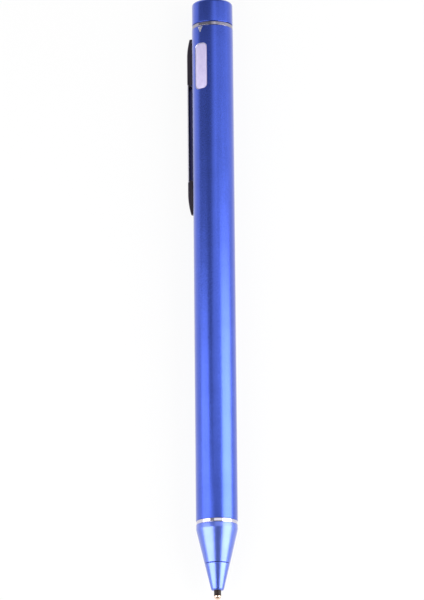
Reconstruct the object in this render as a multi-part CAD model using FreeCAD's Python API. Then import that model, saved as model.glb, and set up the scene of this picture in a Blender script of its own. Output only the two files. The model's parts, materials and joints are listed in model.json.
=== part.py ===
# An active stylus pen for touch screens: a slim anodised barrel with a two-part cone, a fine copper nib,
# a pocket clip, a window button, and a pull-off cap over the charging port. It lies on barrel and clip.
#
# All sizes are in millimetres. The pen is drawn along +Y with its axis on the Y axis and the nib's tip at
# y = 0. What sits on one side of the pen is drawn on the +Z side and then turned about the axis. The last
# step moves everything to the part's own frame: the middle of its length at y = 0, its lowest point at
# z = 0.
import FreeCAD, Part

import math
import os

Vector = FreeCAD.Vector
CENTRE = Vector(0, 0, 0)
ALONG = Vector(0, 1, 0)

# ---------------------------------------------------------------- clearances

RUNNING_GAP = 0.05       # round the pieces that slide
PRESS_GAP = 0.02         # round the pieces that are pressed or glued in
SEAM_GAP = 0.06          # between the faces of pieces that come apart
SLOT_GAP = 0.07          # between the button and its slot
FREE_GAP = 0.3           # between pieces that must not meet

# ---------------------------------------------------------------- barrel, rings and cap

BARREL_RADIUS = 4.5
BARREL_WALL = 0.5
BARREL_LENGTH = 109.4

LOWER_RING_RADIUS = 4.4
LOWER_RING_LENGTH = 0.8
UPPER_RING_RADIUS = 4.45
UPPER_RING_LENGTH = 0.9
RING_CROWN = 0.12        # how far the upper ring's crest stands out

CAP_RADIUS = 4.45
CAP_WALL = 0.35
CAP_LENGTH = 5.1
CAP_ROOF = 0.6
CAP_TOP_ROUND = 0.7
LINER_WALL = 0.2
LINER_SETBACK = 0.4      # from the cap's mouth to the liner

# ---------------------------------------------------------------- cone, nib and contact

NIB_RADIUS = 0.75
NIB_REACH = 1.95         # from the cone's face to the nib's tip
NIB_SHANK_RADIUS = 0.4
NIB_HEAD_RADIUS = 0.9
NIB_HEAD_LENGTH = 0.8
SLEEVE_FLANGE_RADIUS = 1.4
SLEEVE_FLANGE_LENGTH = 0.6
SLEEVE_SEAT_DEPTH = 2.4  # from the cone's face to the shoulder that stops the sleeve

TIP_LENGTH = 5.8
TIP_FACE_RADIUS = 1.45   # where the cone would start without its rounded nose
TIP_NOSE_ROUND = 0.6
TIP_BORE_RADIUS = 1.5
CONE_LENGTH = 7.3
RIM_RADIUS = 4.45
RIM_LENGTH = 1.1
CONE_SPIGOT_LENGTH = 5.0
CONE_SPIGOT_WALL = 0.55
CONE_INNER_STEP = 3.2    # from the bushing's flange to the wide part of the bore

BUSHING_RADIUS = 1.9
BUSHING_LENGTH = 2.4
BUSHING_FLANGE_RADIUS = 2.45
BUSHING_FLANGE_LENGTH = 1.0
BUSHING_SPIGOT_LENGTH = 1.6
BUSHING_BORE_RADIUS = 0.8

SPRING_RADIUS = 0.5      # of the wire's centre line
SPRING_WIRE_RADIUS = 0.11
SPRING_TURNS = 4
SPRING_CORNERS = 8       # straight runs in one turn
CUP_RADIUS = 1.2
CUP_LENGTH = 5.0
CUP_RECESS_DEPTH = 2.0
CUP_TAIL_RADIUS = 0.5
CUP_TAIL_LENGTH = 2.0
CARRIER_NOSE_LENGTH = 2.6
CARRIER_TAIL_LENGTH = 3.0  # past the end of the cone's spigot

# ---------------------------------------------------------------- button

BUTTON_TURN = 87.0       # round the axis, from the clip to the button
BUTTON_FROM_RING = 9.1   # from the barrel's rear end to the middle of the slot
SLOT_WIDTH = 3.05
SLOT_LENGTH = 10.2
SLOT_CORNER = 1.0
SLOT_BEVEL = 0.12
BUTTON_SINK = 0.06       # the window's face lies this far under the barrel's
BUTTON_TRAVEL = 0.25
FLANGE_LIP = 0.6         # how far the flange reaches past the slot
FLANGE_THICKNESS = 0.4
STEM_SIZE = 1.6

# ---------------------------------------------------------------- clip

CLIP_LENGTH = 39.7
CLIP_WIDTH = 3.4
CLIP_HEIGHT = 1.25       # from the barrel to the arm's outer face
CLIP_SHEET = 0.4
CLIP_TOP_HEIGHT = 0.6    # at the square end beside the ring
CLIP_SHOULDER = 3.7      # length of the curve from that end to full height
CLIP_ROOT_LENGTH = 10.2
CLIP_FOOT_LENGTH = 7.4
CLIP_FOOT_TAPER = 4.4
CLIP_FOOT_HEIGHT = 0.45
CLIP_EDGE_ROUND = 0.3
CLIP_CURVE = 0.7         # share of its rise that an end's curve has made by its middle
CLIP_FROM_RING = 1.7
CLIP_FLOAT = 0.06        # between the clip and the barrel
CLIP_LIFT = 0.01         # between the clip's corner and the table
CLIP_CHEEK = 0.45
TAB_WIDTH = 2.0
TAB_LENGTH = 2.0
TAB_FROM_END = 1.2
TAB_DEPTH = 0.55         # how far the tab reaches past the barrel's wall
TAB_GAP = 0.15
ANCHOR_WIDTH = 3.2
ANCHOR_MARGIN = 1.0
ANCHOR_THICKNESS = 0.35

# ---------------------------------------------------------------- charging port

PORT_WIDTH = 6.9         # mouth of a standard micro port
PORT_HEIGHT = 1.85
PORT_CORNER = 0.85       # slanted lower corners
PORT_ROUND = 0.45
SHELL_WALL = 0.2
SHELL_LENGTH = 5.2
TONGUE_WIDTH = 3.9
TONGUE_THICKNESS = 0.6
TONGUE_SETBACK = 0.6
TONGUE_ROOT_LENGTH = 1.0
CONTACT_COUNT = 5
CONTACT_PITCH = 0.65
CONTACT_WIDTH = 0.3
CONTACT_THICKNESS = 0.1
SPIGOT_RADIUS = 3.85
SPIGOT_LENGTH = 4.3
HOUSING_DEPTH = 2.0      # how far the housing goes into the barrel

# ---------------------------------------------------------------- board, frame and battery

BOARD_WIDTH = 6.4
BOARD_THICKNESS = 0.8
BOARD_LENGTH = 44.5
BOARD_TAIL_WIDTH = 5.0
BOARD_TAIL_SETBACK = 1.5 # from the port's mouth to the end of the board

SWITCH_WIDTH = 3.0
SWITCH_LENGTH = 3.6
SWITCH_HEIGHT = 1.6
PLUNGER_SIZE = 1.2
PLUNGER_RISE = 0.55
PLUNGER_DEPTH = 0.6
LED_FROM_SWITCH = 3.6
LED_WIDTH = 1.6
LED_LENGTH = 0.9
LED_HEIGHT = 0.7

INDUCTOR_SIZE = 3.2
INDUCTOR_HEIGHT = 1.6
DRIVER_WIDTH = 3.9
DRIVER_LENGTH = 4.4
DRIVER_HEIGHT = 1.1
DRIVER_LEGS = 4          # on each side
DRIVER_PITCH = 1.0
DRIVER_LEG_WIDTH = 0.4
DRIVER_LEG_REACH = 0.6
CHARGER_SIZE = 2.4
CHARGER_HEIGHT = 0.8
CRYSTAL_WIDTH = 1.6
CRYSTAL_LENGTH = 2.2
CRYSTAL_HEIGHT = 0.6
CAPACITOR_WIDTH = 0.6
CAPACITOR_LENGTH = 1.1
CAPACITOR_HEIGHT = 0.55
CAPACITOR_SPREAD = 2.1   # from the middle of the board

FRAME_GAP = 0.1
FRAME_WALL = 0.4
BULKHEAD_THICKNESS = 1.2
BULKHEAD_TOP = 3.1       # height of the flats that the drive lead passes over
LEDGE_WIDTH = 0.7
HOOK_LENGTH = 1.6
HOOK_HEIGHT = 0.3
HOOK_LIP = 0.2
HOOK_COUNT = 2

BATTERY_RADIUS = 3.4
BATTERY_LENGTH = 40.0
GUARD_WIDTH = 4.8
GUARD_HEIGHT = 3.2
GUARD_THICKNESS = 0.6
PAD_THICKNESS = 1.2
PAD_WIDTH = 4.2
LEAD_RADIUS = 0.28
LEAD_SPREAD = 1.5        # from the middle to each battery lead
LEAD_LEVEL = 0.9         # height of the battery leads where they leave the cell
LEAD_DROP_LENGTH = 1.9   # along the pen while they come down to the board
LEAD_TAIL_LENGTH = 1.9   # on the board
DRIVE_LEAD_RADIUS = 0.2
LEAD_STRAIGHT = 2.3      # the drive lead runs straight this far past the frame's front wall
LEAD_CLEAR = 1.5         # and is up at its full height this far before the battery's bulkhead
LEAD_OVERHANG = 2.5      # and stays up this far past the board's front edge
LEAD_DESCENT = 3.5
LEAD_LANDING = 2.5
WIRE_SIDES = 6

# ---------------------------------------------------------------- stations along the pen

TIP_FRONT = NIB_REACH
SEAM = TIP_FRONT + TIP_LENGTH
CONE_END = SEAM + CONE_LENGTH
RIM_END = CONE_END + RIM_LENGTH
BARREL_FRONT = RIM_END + LOWER_RING_LENGTH
BARREL_REAR = BARREL_FRONT + BARREL_LENGTH
RING_REAR = BARREL_REAR + UPPER_RING_LENGTH
CAP_FRONT = RING_REAR + SEAM_GAP
CAP_REAR = CAP_FRONT + CAP_LENGTH
PORT_MOUTH = RING_REAR + SPIGOT_LENGTH

BORE_RADIUS = BARREL_RADIUS - BARREL_WALL
BUTTON_Y = BARREL_REAR - BUTTON_FROM_RING
CLIP_END = BARREL_REAR - CLIP_FROM_RING
BUSHING_SHOULDER = SEAM + BUSHING_LENGTH
CONE_BORE_RADIUS = BORE_RADIUS - PRESS_GAP - CONE_SPIGOT_WALL
CONE_SPIGOT_END = RIM_END + CONE_SPIGOT_LENGTH
CARRIER_FRONT = BUSHING_SHOULDER + BUSHING_FLANGE_LENGTH
CUP_FRONT = CARRIER_FRONT + CARRIER_NOSE_LENGTH
CUP_REAR = CUP_FRONT + CUP_LENGTH
FRAME_FRONT = CONE_SPIGOT_END + CARRIER_TAIL_LENGTH
FRAME_RADIUS = BORE_RADIUS - FRAME_GAP

BOARD_REAR = PORT_MOUTH - BOARD_TAIL_SETBACK
BOARD_FRONT = BOARD_REAR - BOARD_LENGTH
BOARD_TOP = -PORT_HEIGHT / 2 - SHELL_WALL
BOARD_UNDERSIDE = BOARD_TOP - BOARD_THICKNESS
HOUSING_FRONT = BARREL_REAR - HOUSING_DEPTH
FRAME_REAR = HOUSING_FRONT

REAR_BULKHEAD = BOARD_FRONT - BULKHEAD_THICKNESS
GUARD_FRONT = REAR_BULKHEAD - PAD_THICKNESS - GUARD_THICKNESS
BATTERY_REAR = GUARD_FRONT
BATTERY_FRONT = BATTERY_REAR - BATTERY_LENGTH
MIDDLE_BULKHEAD = BATTERY_FRONT - PAD_THICKNESS - BULKHEAD_THICKNESS


def resting_turn():
    """The clip's place round the axis, in degrees, when barrel and clip both lie on the table."""
    across = CLIP_WIDTH / 2 - CLIP_EDGE_ROUND
    out = BARREL_RADIUS + CLIP_HEIGHT - CLIP_EDGE_ROUND
    reach = math.hypot(across, out)
    drop = BARREL_RADIUS - CLIP_LIFT - CLIP_EDGE_ROUND
    from_straight_down = math.degrees(math.acos(drop / reach) + math.atan2(across, out))
    return from_straight_down - 180


CLIP_ANGLE = resting_turn()
BUTTON_ANGLE = CLIP_ANGLE + BUTTON_TURN


# ---------------------------------------------------------------- drawing helpers

class Outline:
    """A closed outline of lines and arcs in the XY plane: x is the distance from the axis, y the station."""

    def __init__(self, x, y):
        self.start = Vector(x, y, 0)
        self.here = self.start
        self.edges = []

    def line(self, x, y):
        """Draws a straight line to a point."""
        end = Vector(x, y, 0)
        self.edges.append(Part.makeLine(self.here, end))
        self.here = end
        return self

    def arc(self, through, end):
        """Draws an arc through one point to another."""
        end = Vector(end[0], end[1], 0)
        self.edges.append(Part.Arc(self.here, Vector(through[0], through[1], 0), end).toShape())
        self.here = end
        return self

    def face(self):
        """Closes the outline and fills it."""
        edges = self.edges + [Part.makeLine(self.here, self.start)]
        return Part.Face(Part.Wire(edges))

    def revolved(self):
        """Turns the outline once about the pen's axis."""
        return self.face().revolve(CENTRE, ALONG, 360)


def quarter(centre, radius, start_degrees):
    """The middle and end points of a quarter circle that is drawn anticlockwise."""
    points = []
    for turn in (45, 90):
        angle = math.radians(start_degrees + turn)
        points.append((centre[0] + radius * math.cos(angle), centre[1] + radius * math.sin(angle)))
    return points


def rod(radius, front, rear):
    """A round bar on the axis."""
    return Part.makeCylinder(radius, rear - front, Vector(0, front, 0), ALONG)


def tube(outer, inner, front, rear):
    """A round tube on the axis."""
    return rod(outer, front, rear).cut(rod(inner, front, rear))


def block(width, front, rear, low, high, middle=0.0):
    """A square-edged block, as wide as stated about x = middle."""
    corner = Vector(middle - width / 2, front, low)
    return Part.makeBox(width, rear - front, high - low, corner)


def rounded_block(width, front, rear, low, high, corner, middle=0.0):
    """A block whose upright edges are rounded."""
    solid = block(width, front, rear, low, high, middle)
    upright = [edge for edge in solid.Edges if abs(edge.tangentAt(edge.FirstParameter).z) > 0.9]
    return solid.makeFillet(corner, upright)


def softened(solid, bevel):
    """Bevels a block's edges at its top face."""
    top = max(solid.Faces, key=lambda face: face.CenterOfMass.z)
    return solid.makeChamfer(bevel, top.Edges)


def turned(shape, degrees):
    """Turns a copy about the pen's axis, from the +Z side towards +X."""
    copy = shape.copy()
    copy.rotate(CENTRE, ALONG, degrees)
    return copy


def wire_section(centre, along, radius):
    """The section of a thin wire: a six-sided outline across the wire's direction."""
    circle = Part.makeCircle(radius, centre, along)
    corners = circle.discretize(WIRE_SIDES + 1)
    return Part.makePolygon(corners)


def wire_along(points, radius):
    """A wire: straight runs through the points, joined by arcs as large as the runs allow."""
    points = [Vector(*point) for point in points]
    edges = []
    here = points[0]
    for before, corner, after in zip(points, points[1:], points[2:]):
        into = (corner - before).normalize()
        out = (after - corner).normalize()
        half_turn = into.getAngle(out) / 2
        trim = 0.45 * min((corner - before).Length, (after - corner).Length)
        bend = trim / math.tan(half_turn)
        inward = (out - into).normalize()
        middle = corner + inward * (bend / math.cos(half_turn) - bend)
        arc_start = corner - into * trim
        arc_end = corner + out * trim
        edges.append(Part.LineSegment(here, arc_start).toShape())
        edges.append(Part.Arc(arc_start, middle, arc_end).toShape())
        here = arc_end
    edges.append(Part.LineSegment(here, points[-1]).toShape())
    section = wire_section(points[0], points[1] - points[0], radius)
    return Part.Wire(edges).makePipeShell([section], True, False)


def cone_radius(station):
    """The cone's outer radius at a station."""
    first = TIP_FRONT + TIP_NOSE_ROUND
    slope = (RIM_RADIUS - TIP_FACE_RADIUS) / (CONE_END - first)
    return TIP_FACE_RADIUS + slope * (station - first)


# ---------------------------------------------------------------- nib and cone

SLEEVE_SHOULDER = TIP_FRONT + SLEEVE_SEAT_DEPTH
SLEEVE_REAR = SLEEVE_SHOULDER + SLEEVE_FLANGE_LENGTH
NIB_REAR = SLEEVE_REAR + NIB_HEAD_LENGTH


def make_nib():
    """The domed copper tip, its shank and the head that the spring presses on."""
    dome_middle = NIB_RADIUS * math.sqrt(0.5)
    outline = Outline(0, 0)
    outline.arc((dome_middle, NIB_RADIUS - dome_middle), (NIB_RADIUS, NIB_RADIUS))
    outline.line(NIB_SHANK_RADIUS, NIB_RADIUS)
    outline.line(NIB_SHANK_RADIUS, SLEEVE_REAR)
    outline.line(NIB_HEAD_RADIUS, SLEEVE_REAR)
    outline.line(NIB_HEAD_RADIUS, NIB_REAR)
    outline.line(0, NIB_REAR)
    return outline.revolved()


def make_nib_sleeve():
    """The insulating sleeve round the shank, with the flange that stops it in the tip."""
    bore = NIB_SHANK_RADIUS + PRESS_GAP
    outline = Outline(bore, NIB_RADIUS + PRESS_GAP)
    outline.line(NIB_RADIUS, NIB_RADIUS + PRESS_GAP)
    outline.line(NIB_RADIUS, SLEEVE_SHOULDER)
    outline.line(SLEEVE_FLANGE_RADIUS, SLEEVE_SHOULDER)
    outline.line(SLEEVE_FLANGE_RADIUS, SLEEVE_REAR)
    outline.line(bore, SLEEVE_REAR)
    return outline.revolved()


def make_nose_tip():
    """The front of the cone, which screws off to change the nib. Two bevels round its nose."""
    hole = NIB_RADIUS + PRESS_GAP
    rear = SEAM - SEAM_GAP / 2
    nose_y = TIP_FRONT + TIP_NOSE_ROUND
    nose_x = TIP_FACE_RADIUS - TIP_NOSE_ROUND
    bend = TIP_NOSE_ROUND * math.sqrt(0.5)
    outline = Outline(hole, TIP_FRONT)
    outline.line(nose_x, TIP_FRONT)
    outline.line(nose_x + bend, nose_y - bend)
    outline.line(TIP_FACE_RADIUS, nose_y)
    outline.line(cone_radius(rear), rear)
    outline.line(TIP_BORE_RADIUS, rear)
    outline.line(TIP_BORE_RADIUS, SLEEVE_SHOULDER)
    outline.line(hole, SLEEVE_SHOULDER)
    return outline.revolved()


def make_nose_cone():
    """The rear of the cone: rim, spigot that goes into the barrel, and stepped bore."""
    front = SEAM + SEAM_GAP / 2
    bushing_bore = BUSHING_RADIUS + PRESS_GAP
    flange_bore = BUSHING_FLANGE_RADIUS + PRESS_GAP
    spigot = BORE_RADIUS - PRESS_GAP
    outline = Outline(bushing_bore, front)
    outline.line(cone_radius(front), front)
    outline.line(RIM_RADIUS, CONE_END)
    outline.line(RIM_RADIUS, RIM_END)
    outline.line(spigot, RIM_END)
    outline.line(spigot, CONE_SPIGOT_END)
    outline.line(CONE_BORE_RADIUS, CONE_SPIGOT_END)
    outline.line(CONE_BORE_RADIUS, CARRIER_FRONT + CONE_INNER_STEP)
    outline.line(flange_bore, CARRIER_FRONT + CONE_INNER_STEP)
    outline.line(flange_bore, BUSHING_SHOULDER)
    outline.line(bushing_bore, BUSHING_SHOULDER)
    return outline.revolved()


def make_threaded_bushing():
    """The brass insert: flange in the cone, body in its bore, and the spigot that the tip goes on to."""
    spigot = TIP_BORE_RADIUS - RUNNING_GAP
    step = SEAM + SEAM_GAP / 2
    outline = Outline(BUSHING_BORE_RADIUS, step - BUSHING_SPIGOT_LENGTH)
    outline.line(spigot, step - BUSHING_SPIGOT_LENGTH)
    outline.line(spigot, step)
    outline.line(BUSHING_RADIUS, step)
    outline.line(BUSHING_RADIUS, BUSHING_SHOULDER)
    outline.line(BUSHING_FLANGE_RADIUS, BUSHING_SHOULDER)
    outline.line(BUSHING_FLANGE_RADIUS, CARRIER_FRONT)
    outline.line(BUSHING_BORE_RADIUS, CARRIER_FRONT)
    return outline.revolved()


def make_contact_spring():
    """The coil spring between the contact cup and the nib's head."""
    front = NIB_REAR + RUNNING_GAP + SPRING_WIRE_RADIUS
    rear = CUP_FRONT + CUP_RECESS_DEPTH - PRESS_GAP - SPRING_WIRE_RADIUS
    steps = SPRING_TURNS * SPRING_CORNERS
    points = []
    for step in range(steps + 1):
        angle = 2 * math.pi * step / SPRING_CORNERS
        points.append(Vector(SPRING_RADIUS * math.cos(angle), front + (rear - front) * step / steps,
                             SPRING_RADIUS * math.sin(angle)))
    section = wire_section(points[0], points[1] - points[0], SPRING_WIRE_RADIUS)
    return Part.makePolygon(points).makePipeShell([section], True, False, 1)


def make_contact_cup():
    """The brass cup that holds the spring, with a solder tail at its back."""
    recess = SPRING_RADIUS + SPRING_WIRE_RADIUS + PRESS_GAP
    outline = Outline(0, CUP_FRONT + CUP_RECESS_DEPTH)
    outline.line(recess, CUP_FRONT + CUP_RECESS_DEPTH)
    outline.line(recess, CUP_FRONT)
    outline.line(CUP_RADIUS, CUP_FRONT)
    outline.line(CUP_RADIUS, CUP_REAR)
    outline.line(CUP_TAIL_RADIUS, CUP_REAR)
    outline.line(CUP_TAIL_RADIUS, CUP_REAR + CUP_TAIL_LENGTH)
    outline.line(0, CUP_REAR + CUP_TAIL_LENGTH)
    return outline.revolved()


def make_front_carrier():
    """The moulded plug that fills the cone's bore, holds the contact cup and meets the frame."""
    nose = BUSHING_FLANGE_RADIUS - PRESS_GAP
    body = CONE_BORE_RADIUS - PRESS_GAP
    cup_bore = CUP_RADIUS + PRESS_GAP
    step = CARRIER_FRONT + CONE_INNER_STEP + PRESS_GAP
    outline = Outline(BUSHING_BORE_RADIUS, CARRIER_FRONT)
    outline.line(nose, CARRIER_FRONT)
    outline.line(nose, step)
    outline.line(body, step)
    outline.line(body, FRAME_FRONT)
    outline.line(cup_bore, FRAME_FRONT)
    outline.line(cup_bore, CUP_FRONT)
    outline.line(BUSHING_BORE_RADIUS, CUP_FRONT)
    return outline.revolved()


# ---------------------------------------------------------------- rings, cap and barrel

def make_lower_ring():
    """The bright ring between the cone's rim and the barrel."""
    return tube(LOWER_RING_RADIUS, BORE_RADIUS, RIM_END, BARREL_FRONT)


def make_upper_ring():
    """The bright ring under the cap, with a low crest round its middle."""
    bore = SPIGOT_RADIUS + PRESS_GAP
    side = UPPER_RING_RADIUS - RING_CROWN
    outline = Outline(bore, BARREL_REAR)
    outline.line(side, BARREL_REAR)
    outline.line(UPPER_RING_RADIUS, (BARREL_REAR + RING_REAR) / 2)
    outline.line(side, RING_REAR)
    outline.line(bore, RING_REAR)
    return outline.revolved()


def make_end_cap():
    """The pull-off cap: a thin cup whose top edge is rounded off in two bevels."""
    bore = CAP_RADIUS - CAP_WALL
    top_round = quarter((CAP_RADIUS - CAP_TOP_ROUND, CAP_REAR - CAP_TOP_ROUND), CAP_TOP_ROUND, 0)
    outline = Outline(bore, CAP_FRONT)
    outline.line(CAP_RADIUS, CAP_FRONT)
    outline.line(CAP_RADIUS, CAP_REAR - CAP_TOP_ROUND)
    for point in top_round:
        outline.line(*point)
    outline.line(0, CAP_REAR)
    outline.line(0, CAP_REAR - CAP_ROOF)
    outline.line(bore, CAP_REAR - CAP_ROOF)
    return outline.revolved()


def make_cap_liner():
    """The thin plastic sleeve in the cap that grips the spigot."""
    outer = CAP_RADIUS - CAP_WALL - PRESS_GAP
    return tube(outer, outer - LINER_WALL, CAP_FRONT + LINER_SETBACK, CAP_REAR - CAP_ROOF)


def slot_cutter():
    """The button's slot through the barrel's wall, with its bevelled outer edge."""
    front = BUTTON_Y - SLOT_LENGTH / 2
    rear = BUTTON_Y + SLOT_LENGTH / 2
    straight = rounded_block(SLOT_WIDTH, front, rear, 0, 2 * BARREL_RADIUS, SLOT_CORNER)
    wide = rounded_block(SLOT_WIDTH + 2 * SLOT_BEVEL, front - SLOT_BEVEL, rear + SLOT_BEVEL,
                         0, 2 * BARREL_RADIUS, SLOT_CORNER + SLOT_BEVEL)
    skin = wide.cut(rod(BARREL_RADIUS - SLOT_BEVEL, BARREL_FRONT, BARREL_REAR))
    return straight.fuse(skin)


def clip_slot_cutter():
    """The slot for the clip's tab."""
    rear = CLIP_END - TAB_FROM_END
    return block(TAB_WIDTH + 2 * TAB_GAP, rear - TAB_LENGTH - TAB_GAP, rear + TAB_GAP,
                 0, 2 * BARREL_RADIUS)


def make_barrel():
    """The anodised tube with its two slots."""
    shell = tube(BARREL_RADIUS, BORE_RADIUS, BARREL_FRONT, BARREL_REAR)
    shell = shell.cut(turned(slot_cutter(), BUTTON_ANGLE))
    return shell.cut(turned(clip_slot_cutter(), CLIP_ANGLE))


# ---------------------------------------------------------------- button and clip

PLUNGER_TOP = BOARD_TOP + SWITCH_HEIGHT + PLUNGER_RISE


def make_power_button():
    """The window button: a curved face in the slot, a flange that keeps it in, and a stem to the switch."""
    width = SLOT_WIDTH - 2 * SLOT_GAP
    half_length = SLOT_LENGTH / 2 - SLOT_GAP
    face_radius = BARREL_RADIUS - BUTTON_SINK
    flange_radius = BORE_RADIUS - SLOT_GAP
    inner_radius = flange_radius - FLANGE_THICKNESS
    flange_half = SLOT_LENGTH / 2 + FLANGE_LIP
    front = BUTTON_Y - flange_half
    rear = BUTTON_Y + flange_half
    face = rounded_block(width, BUTTON_Y - half_length, BUTTON_Y + half_length,
                         0, 2 * BARREL_RADIUS, SLOT_CORNER - SLOT_GAP)
    face = face.common(tube(face_radius, inner_radius, front, rear))
    flange = block(SLOT_WIDTH + 2 * FLANGE_LIP, front, rear, 0, 2 * BARREL_RADIUS)
    flange = flange.common(tube(flange_radius, inner_radius, front, rear))
    stem_top = inner_radius + FLANGE_THICKNESS / 2
    stem = block(STEM_SIZE, BUTTON_Y - STEM_SIZE / 2, BUTTON_Y + STEM_SIZE / 2, PLUNGER_TOP, stem_top)
    return face.fuse(flange).fuse(stem).removeSplitter()


def make_tact_switch():
    """The switch's body, with the well that its plunger moves in."""
    top = BOARD_TOP + SWITCH_HEIGHT
    body = block(SWITCH_WIDTH, BUTTON_Y - SWITCH_LENGTH / 2, BUTTON_Y + SWITCH_LENGTH / 2, BOARD_TOP, top)
    depth = PLUNGER_DEPTH + BUTTON_TRAVEL + RUNNING_GAP
    half = PLUNGER_SIZE / 2 + RUNNING_GAP
    well = block(2 * half, BUTTON_Y - half, BUTTON_Y + half, top - depth, top)
    return body.cut(well)


def make_switch_plunger():
    """The square plunger that the button's stem rests on."""
    low = BOARD_TOP + SWITCH_HEIGHT - PLUNGER_DEPTH
    return block(PLUNGER_SIZE, BUTTON_Y - PLUNGER_SIZE / 2, BUTTON_Y + PLUNGER_SIZE / 2, low, PLUNGER_TOP)


def make_pocket_clip():
    """The clip: root block with its tab, open arm and foot, cut from one side outline."""
    foot_end = CLIP_END - CLIP_LENGTH
    root_front = CLIP_END - CLIP_ROOT_LENGTH
    foot_rear = foot_end + CLIP_FOOT_LENGTH
    inside = BARREL_RADIUS * math.sqrt(0.5)     # the barrel's round is cut out of this below
    face = BARREL_RADIUS + CLIP_HEIGHT
    under = face - CLIP_SHEET
    window_end = (under - BARREL_RADIUS) / 2
    top = BARREL_RADIUS + CLIP_TOP_HEIGHT
    shoulder = CLIP_END - CLIP_SHOULDER
    rise = CLIP_CURVE * (CLIP_HEIGHT - CLIP_TOP_HEIGHT)
    foot_top = BARREL_RADIUS + CLIP_FOOT_HEIGHT
    foot_shoulder = foot_end + CLIP_FOOT_TAPER
    foot_rise = CLIP_CURVE * (CLIP_HEIGHT - CLIP_FOOT_HEIGHT)
    window_middle = BARREL_RADIUS + window_end

    outline = Outline(inside, CLIP_END)
    outline.line(top, CLIP_END)
    outline.arc((top + rise, (CLIP_END + shoulder) / 2), (face, shoulder))
    outline.line(face, foot_shoulder)
    outline.arc((foot_top + foot_rise, (foot_end + foot_shoulder) / 2), (foot_top, foot_end))
    outline.line(inside, foot_end)
    outline.line(inside, foot_rear)
    outline.line(window_middle - window_end, foot_rear)
    outline.arc((window_middle, foot_rear + window_end), (under, foot_rear))
    outline.line(under, root_front)
    outline.arc((window_middle, root_front - window_end), (window_middle - window_end, root_front))
    outline.line(inside, root_front)
    side = outline.face()
    side.rotate(CENTRE, ALONG, -90)
    side.translate(Vector(-CLIP_WIDTH / 2, 0, 0))
    clip = side.extrude(Vector(CLIP_WIDTH, 0, 0))

    channel = block(CLIP_WIDTH - 2 * CLIP_CHEEK, root_front + CLIP_CHEEK, shoulder, 0, under)
    clip = clip.cut(channel)
    clip = clip.cut(rod(BARREL_RADIUS + CLIP_FLOAT, foot_end - CLIP_WIDTH, CLIP_END + CLIP_WIDTH))
    clip = rounded_along(clip, face)

    tab_rear = CLIP_END - TAB_FROM_END
    tab_low = BORE_RADIUS - TAB_DEPTH
    tab = block(TAB_WIDTH, tab_rear - TAB_LENGTH, tab_rear, tab_low, BARREL_RADIUS + CLIP_TOP_HEIGHT / 2)
    return clip.fuse(tab).removeSplitter()


def rounded_along(clip, face):
    """Rounds the two long outer edges of the clip's arm."""
    long_edges = []
    for edge in clip.Edges:
        box = edge.BoundBox
        if box.ZMin > face - CLIP_SHEET / 4 and box.YLength > CLIP_LENGTH / 2:
            long_edges.append(edge)
    return clip.makeFillet(CLIP_EDGE_ROUND, long_edges)


def anchor_blank(grow):
    """The anchor's curved outline, or the larger pocket that it needs in the frame."""
    rear = HOUSING_FRONT - RUNNING_GAP + grow
    front = CLIP_END - TAB_FROM_END - TAB_LENGTH - ANCHOR_MARGIN - grow
    outer = BORE_RADIUS - PRESS_GAP
    blank = block(ANCHOR_WIDTH + 2 * grow, front, rear, 0, BARREL_RADIUS)
    return blank.common(tube(outer, outer - ANCHOR_THICKNESS - grow, front, rear))


def make_clip_anchor():
    """The steel plate inside the barrel that the clip's tab passes into."""
    return anchor_blank(0).cut(clip_slot_cutter())


# ---------------------------------------------------------------- charging port

def port_outline(grow):
    """The port's mouth, or a larger outline round it, as a face across the pen."""
    half_width = PORT_WIDTH / 2 + grow
    half_height = PORT_HEIGHT / 2 + grow
    corner = PORT_CORNER + grow * (2 - math.sqrt(2))
    bend = PORT_ROUND + grow
    turn_left = quarter((-half_width + bend, half_height - bend), bend, 90)
    turn_right = quarter((half_width - bend, half_height - bend), bend, 0)
    outline = Outline(half_width, -half_height + corner)
    outline.line(half_width, half_height - bend)
    outline.arc(*turn_right)
    outline.line(-half_width + bend, half_height)
    outline.arc(*turn_left)
    outline.line(-half_width, -half_height + corner)
    outline.line(-half_width + corner, -half_height)
    outline.line(half_width - corner, -half_height)
    face = outline.face()
    face.rotate(CENTRE, Vector(1, 0, 0), 90)
    return face


def port_bar(grow, front, rear):
    """A bar along the pen with the port's outline."""
    face = port_outline(grow)
    face.translate(Vector(0, front, 0))
    return face.extrude(Vector(0, rear - front, 0))


SHELL_FRONT = PORT_MOUTH - SHELL_LENGTH


def make_usb_shell():
    """The folded steel shell of the port."""
    return port_bar(SHELL_WALL, SHELL_FRONT, PORT_MOUTH).cut(port_bar(0, SHELL_FRONT, PORT_MOUTH))


def make_usb_tongue():
    """The moulded insulator: a plug at the back of the shell and the tongue that stands out of it."""
    root_end = SHELL_FRONT + TONGUE_ROOT_LENGTH
    root = port_bar(-PRESS_GAP, SHELL_FRONT, root_end)
    tongue = block(TONGUE_WIDTH, root_end, PORT_MOUTH - TONGUE_SETBACK, 0, TONGUE_THICKNESS)
    return root.fuse(tongue).removeSplitter()


def make_usb_contacts():
    """The spring contacts under the tongue."""
    root_end = SHELL_FRONT + TONGUE_ROOT_LENGTH
    contacts = []
    for index in range(CONTACT_COUNT):
        middle = (index - (CONTACT_COUNT - 1) / 2) * CONTACT_PITCH
        contacts.append(block(CONTACT_WIDTH, root_end, PORT_MOUTH - 2 * TONGUE_SETBACK,
                              -CONTACT_THICKNESS, 0, middle))
    return Part.makeCompound(contacts)


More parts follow.
